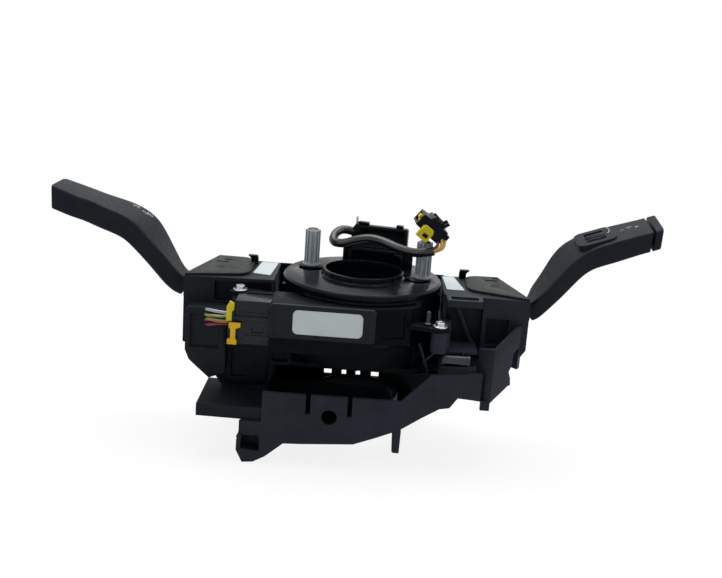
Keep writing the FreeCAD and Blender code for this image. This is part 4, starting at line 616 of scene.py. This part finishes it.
# %% Turn a bmesh into a piece
def piece_from(shape, name, body, material, edge_mm=0.3, rows=2):
    if edge_mm:
        bmesh.ops.bevel(
            shape, geom=shape.edges[:], offset=edge_mm * MM, offset_type="OFFSET", segments=rows,
            profile=0.5, material=-1, affect="EDGES", clamp_overlap=True,
        )
    bmesh.ops.recalc_face_normals(shape, faces=shape.faces[:])
    piece = placed(shape, name)
    piece.data.shade_smooth()
    piece.data.set_sharp_from_angle(angle=math.radians(40))
    piece.data.materials.append(material)
    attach(piece, body)
    return piece


def moved_rim(shape, faces, shift_mm):
    """Extrude faces, move the new rim by this much, and give the rim's corners and the new faces."""
    raised = bmesh.ops.extrude_face_region(shape, geom=faces)["geom"]
    rim = [part for part in raised if isinstance(part, bmesh.types.BMVert)]
    bmesh.ops.translate(shape, verts=rim, vec=Vector(shift_mm) * MM)
    return rim, [part for part in raised if isinstance(part, bmesh.types.BMFace)]


def block(size_mm, place_mm, turned=None):
    """A cube of this size, turned about its middle and moved to its place."""
    shape = bmesh.new()
    bmesh.ops.create_cube(shape, size=1)
    bmesh.ops.scale(shape, verts=shape.verts, vec=Vector(size_mm) * MM)
    if turned:
        bmesh.ops.rotate(shape, verts=shape.verts, cent=(0, 0, 0), matrix=turned.to_3x3())
    bmesh.ops.translate(shape, verts=shape.verts, vec=Vector(place_mm) * MM)
    return shape


# %% Two hooks that hold the covers
for side, centre, lean_mm in (("left", -69.4, -0.9), ("right", 63.4, 0.9)):
    shape = block((4.6, 3.4, 3.4), (centre, 18.2, 87.7))
    top = [face for face in shape.faces if face.normal.z > 0.9]
    rim, _ = moved_rim(shape, top, (lean_mm, -0.9, 2.3))
    bmesh.ops.delete(shape, geom=top, context="FACES_ONLY")
    bmesh.ops.scale(
        shape, verts=rim, vec=(1.35, 1.2, 1), space=Matrix.Translation(Vector((-centre, -17.3, 0)) * MM),
    )
    piece_from(shape, f"cover_hook_{side}", "column_module", smooth_abs, 0.5)
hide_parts("cover_latches")

# %% Panel in the module's sloping end
slope = Matrix.Rotation(math.radians(18.85), 4, "Z")
panel = block((14.3, 2.0, 14.4), (19.95, -49.3, 71.0), slope)
# Painted shade: the panel takes the nearly black copy of the nylon.
piece_from(panel, "service_panel", "column_module", painted_shade_nylon, 0.4, 3)

# %% Webs that close the gaps beside the clock spring and the tub
for name, size_mm, place_mm in (
    ("left_gap_web", (9.8, 2.0, 29.0), (-49.2, 24.6, 71.4)),
    ("right_gap_web", (7.0, 2.0, 28.5), (48.6, 22.9, 71.6)),
    ("tub_side_web", (1.6, 58.0, 40.0), (49.1, 2.0, 40.0)),
    ("tub_corner_web", (9.0, 2.0, 8.5), (42.0, 30.9, 4.9)),
):
    # Painted shade: the webs take the nearly black copy of the nylon.
    piece_from(block(size_mm, place_mm), name, "column_module", painted_shade_nylon, 0.4)
print("gaps closed")

# %% Forked strut between the deck and the right screw boss
post = block((1.5, 1.6, 18.5), (39.9, -40.6, 50.6), Matrix.Rotation(math.radians(-20), 4, "Y"))
# Painted light: the strut gets the lighter copy of the nylon too.
piece_from(post, "strut_post", "column_module", painted_lit_nylon, 0.4)
fork = block((1.3, 1.5, 11.5), (43.6, -40.7, 51.4), Matrix.Rotation(math.radians(46), 4, "Y"))
piece_from(fork, "strut_fork", "column_module", painted_lit_nylon, 0.4)

# %% Painted shade: thin dark sheets for the pockets at the feet of the drive posts
for name, middle, wide, deep in (
    ("left_foot_pocket", (-33.2, 15.4), 7.6, 6.0), ("right_foot_pocket", (34.2, -1.8), 5.4, 5.8),
):
    shape = bmesh.new()
    foot = bmesh.ops.create_circle(shape, cap_ends=True, segments=40, radius=MM)["verts"]
    bmesh.ops.scale(shape, verts=foot, vec=(wide, deep, 1))
    bmesh.ops.translate(shape, verts=foot, vec=Vector((*middle, 88.0)) * MM)
    moved_rim(shape, shape.faces[:], (0, 0, 0.15))
    piece_from(shape, name, "rotor", painted_shade_nylon, 0)
print("pockets laid")

# %% Guide rail on the plug's front
rail = block((21.8, 1.1, 1.3), (-63.4, -50.3, 70.1))
piece_from(rail, "plug_rail", "column_module", plug_pbt, 0.45, 3)

# %% Cable duct in the right housing
shape = bmesh.new()
ring = bmesh.ops.create_circle(shape, cap_ends=True, segments=32, radius=2.9 * MM)["verts"]
bmesh.ops.rotate(shape, verts=ring, cent=(0, 0, 0), matrix=Matrix.Rotation(math.radians(90), 3, "Y"))
bmesh.ops.translate(shape, verts=ring, vec=Vector((50.4, -47.2, 52.9)) * MM)
end = list(shape.faces)
for length, growth in ((1.2, 1.0), (0.3, 0.9), (12.8, 1.0), (0.3, 1 / 0.9), (1.6, 1.0)):
    passed = end
    rim, end = moved_rim(shape, passed, (length, 0, 0))
    if len(shape.faces) > 40:
        bmesh.ops.delete(shape, geom=passed, context="FACES_ONLY")
    bmesh.ops.scale(
        shape, verts=rim, vec=(1, growth, growth), space=Matrix.Translation(Vector((0, 47.2, -52.9)) * MM),
    )
# Painted light: the duct takes the lighter grey PBT.
piece_from(shape, "cable_duct", "column_module", painted_lit_duct_pbt, 0)
print("duct drawn out in five steps")

# %% Dark slot in the connector's lock
lean = Matrix.Rotation(math.radians(38), 4, "Y") @ Matrix.Rotation(math.radians(8), 4, "Z")
slot_middle = lean @ Vector((-1.8, -8.4, -5.8)) + Vector((40, -1, 122.4))
slot = block((3.8, 1.6, 2.6), slot_middle, lean)
lock_slot = piece_from(slot, "lock_slot", "rotor", smooth_abs, 0.1)

# %% [markdown]
# ## Marks on the paddles
#
# The paddles carry small white signs, pad printed on a face that curves. Each sign is a few
# open lines. Their points are dropped on the solid's own surface along the face's normal, and a
# thin round bevel makes lines of them that stand two tenths of a millimetre proud.

# %% Print lines on a curved face
def arc(centre, radius, start, stop, steps=10):
    turns = [math.radians(start + (stop - start) * step / steps) for step in range(steps + 1)]
    return [(centre[0] + radius * math.cos(a), centre[1] + radius * math.sin(a)) for a in turns]


def printed(name, body, onto, centre, across, upward, lines, width_mm):
    """Lines given in millimetres on a plane are dropped on a solid and become one printed sign."""
    surface = bmesh.new()
    surface.from_mesh(nodes[onto].data)
    skin = BVHTree.FromBMesh(surface)
    surface.free()
    across, upward = Vector(across).normalized(), Vector(upward).normalized()
    outward = across.cross(upward)
    curve = bpy.data.curves.new(name, "CURVE")
    curve.dimensions = "3D"
    curve.bevel_depth = width_mm * MM / 2
    curve.bevel_resolution = 1
    curve.use_fill_caps = True
    for line in lines:
        spline = curve.splines.new("POLY")
        spline.points.add(len(line) - 1)
        for point, (u, v) in zip(spline.points, line):
            above = (Vector(centre) + across * u + upward * v + outward * 4) * MM
            point.co = (*skin.ray_cast(above, -outward)[0], 1)
    drawn = bpy.data.objects.new(f"{name}_lines", curve)
    mesh = bpy.data.meshes.new_from_object(drawn)
    bpy.data.objects.remove(drawn)
    mark = bpy.data.objects.new(name, mesh)
    bpy.context.collection.objects.link(mark)
    mesh.materials.clear()
    mesh.materials.append(pad_print)
    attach(mark, body)


# Two-part ink, off-white and matt: the signs.
pad_print = moulded(
    "pad_print_ink_white", "#b4b8b8", "#c8cccc", roughness=0.5, grain_mm=0.8,
    depth_mm=0.002, specular=0.3,
)

# %% Lamp and turn signs on the left paddle, wash sign and wheel mark on the right one
along_left = (0.92, 0.0, -0.38)
lamp = [arc((0.4, 0), 1.5, -90, 90), [(0.4, -1.5), (0.4, 1.5)]]
lamp += [[(-2.6, height - 0.3), (-0.5, height + 0.2)] for height in (-1.1, 0, 1.1)]
up_left = (-0.05, 1, 0.05)
printed(
    "lamp_sign", "left_stalk_arm", "left_stalk", (-142.4, 5.6, 119.9), along_left, up_left, lamp, 0.42,
)
along_bend = (0.82, 0.0, -0.57)
turn_sign = [
    [
        (-0.3, 1.6), (2.4, 1.6), (2.4, 2.4), (3.8, 1.0), (2.4, -0.4), (2.4, 0.4), (-0.3, 0.4),
        (-0.3, 1.6),
    ],
    [
        (0.3, -0.6), (-2.2, -0.6), (-2.2, 0.2), (-3.6, -1.1), (-2.2, -2.4), (-2.2, -1.7),
        (0.3, -1.7), (0.3, -0.6),
    ],
]
printed(
    "turn_sign", "left_stalk_arm", "left_stalk", (-135.6, 4.6, 116.2), along_bend, up_left,
    turn_sign, 0.4,
)
along_right = (0.94, 0.0, 0.33)
up_right = (0.04, 1, 0.1)
printed(
    "wheel_mark", "right_stalk_arm", "right_stalk", (147.2, -0.5, 127.6), along_right, up_right,
    [arc((-7.0, 0), 8.0, -38, 34, 14)], 0.5,
)
spray = [arc((0, -0.6), 2.2, 25, 155), [(0, -2.2), (0, 0.4)]]
spray += [[(3.4, height), (5.6, height)] for height in (-1.4, -0.2)] + [[(-5.6, -0.8), (-3.2, -0.8)]]
printed(
    "wash_sign", "right_stalk_arm", "right_stalk", (159.6, -2.4, 130.1), along_right, up_right,
    spray, 0.4,
)
print("signs printed")

# %% [markdown]
# ## The lead's route
#
# The lead follows the points listed above, and a user of the part may want to lay it another way.

# %% [markdown]
# ## Floor, backdrop and light
#
# The photograph was taken on white under soft studio light, and its background is pure white.
# The floor is a large pale sheet. Towards the camera, mirrors and clear plastics most of its
# light is a plain white of strength one, and the rest is a real diffuse floor, which keeps a
# faint shadow under the object. That rest fades out with the distance from the object, so no
# horizon shows. One large soft lamp stands above and a little behind, because in the photograph
# the upper faces are much lighter than the front ones, and two weaker ones fill the sides.

# %% Floor
FLOOR_REACH = 12
FLOOR_GAP = 0.3 * MM


def seen_straight(tree):
    """One for a ray from the camera, off a mirror or through something clear, else nought."""
    ray = node(tree, "ShaderNodeLightPath").outputs
    seen = node(
        tree, "ShaderNodeMath", operation="MAXIMUM",
        links={0: ray["Is Camera Ray"], 1: ray["Is Glossy Ray"]},
    )
    seen = node(
        tree, "ShaderNodeMath", operation="MAXIMUM",
        links={0: seen.outputs[0], 1: ray["Is Transmission Ray"]},
    )
    return seen.outputs[0]


shape = bmesh.new()
bmesh.ops.create_grid(shape, x_segments=1, y_segments=1, size=FLOOR_REACH)
bmesh.ops.translate(shape, verts=shape.verts, vec=(0, 0, cad_box[0][2] - FLOOR_GAP))
floor = placed(shape, "floor")
paper = bpy.data.materials.new("white_studio_paper")
paper.use_nodes = True
tree = paper.node_tree
tree.nodes.remove(tree.nodes["Principled BSDF"])
place = node(tree, "ShaderNodeTexCoord").outputs["Object"]
away = node(tree, "ShaderNodeVectorMath", links={0: place}, operation="LENGTH")
plain = node(
    tree, "ShaderNodeMapRange", {"From Min": 0.2, "From Max": 0.9, "To Min": 0.86, "To Max": 1.0},
    {"Value": away.outputs["Value"]}, interpolation_type="SMOOTHSTEP",
)
share = node(
    tree, "ShaderNodeMath", links={0: seen_straight(tree), 1: plain.outputs["Result"]},
    operation="MULTIPLY",
)
sheet = node(tree, "ShaderNodeBsdfDiffuse", {"Color": linear("#f4f4f4")})
white = node(tree, "ShaderNodeEmission", {"Color": (1, 1, 1, 1), "Strength": 1.0})
mixed = node(
    tree, "ShaderNodeMixShader",
    links={0: share.outputs[0], 1: sheet.outputs[0], 2: white.outputs[0]},
)
tree.links.new(mixed.outputs[0], tree.nodes["Material Output"].inputs["Surface"])
floor.data.materials.append(paper)
print("floor laid")

# %% White surroundings
world = bpy.data.worlds.new("white_room")
world.use_nodes = True
bpy.context.scene.world = world
tree = world.node_tree
level = node(
    tree, "ShaderNodeMapRange", {"To Min": 0.28, "To Max": 1.0}, {"Value": seen_straight(tree)},
)
tree.links.new(level.outputs["Result"], tree.nodes["Background"].inputs["Strength"])
tree.nodes["Background"].inputs["Color"].default_value = (1, 1, 1, 1)

# %% Lamps
def soft_lamp(name, place, size, power):
    data = bpy.data.lights.new(name, "AREA")
    data.shape = "RECTANGLE"
    data.size, data.size_y = size
    data.energy = power
    lamp = bpy.data.objects.new(name, data)
    lamp.location = place
    lamp.rotation_euler = (disc_centre - Vector(place)).to_track_quat("-Z", "Y").to_euler()
    bpy.context.collection.objects.link(lamp)


soft_lamp("top_light", (0.0, 0.35, 1.5), (1.5, 1.2), 30)
soft_lamp("left_light", (-1.4, -0.5, 1.0), (0.9, 0.9), 4)
soft_lamp("right_light", (1.4, -0.2, 0.9), (0.8, 0.9), 4)
bpy.context.scene.view_settings.view_transform = "Standard"
print("lit")
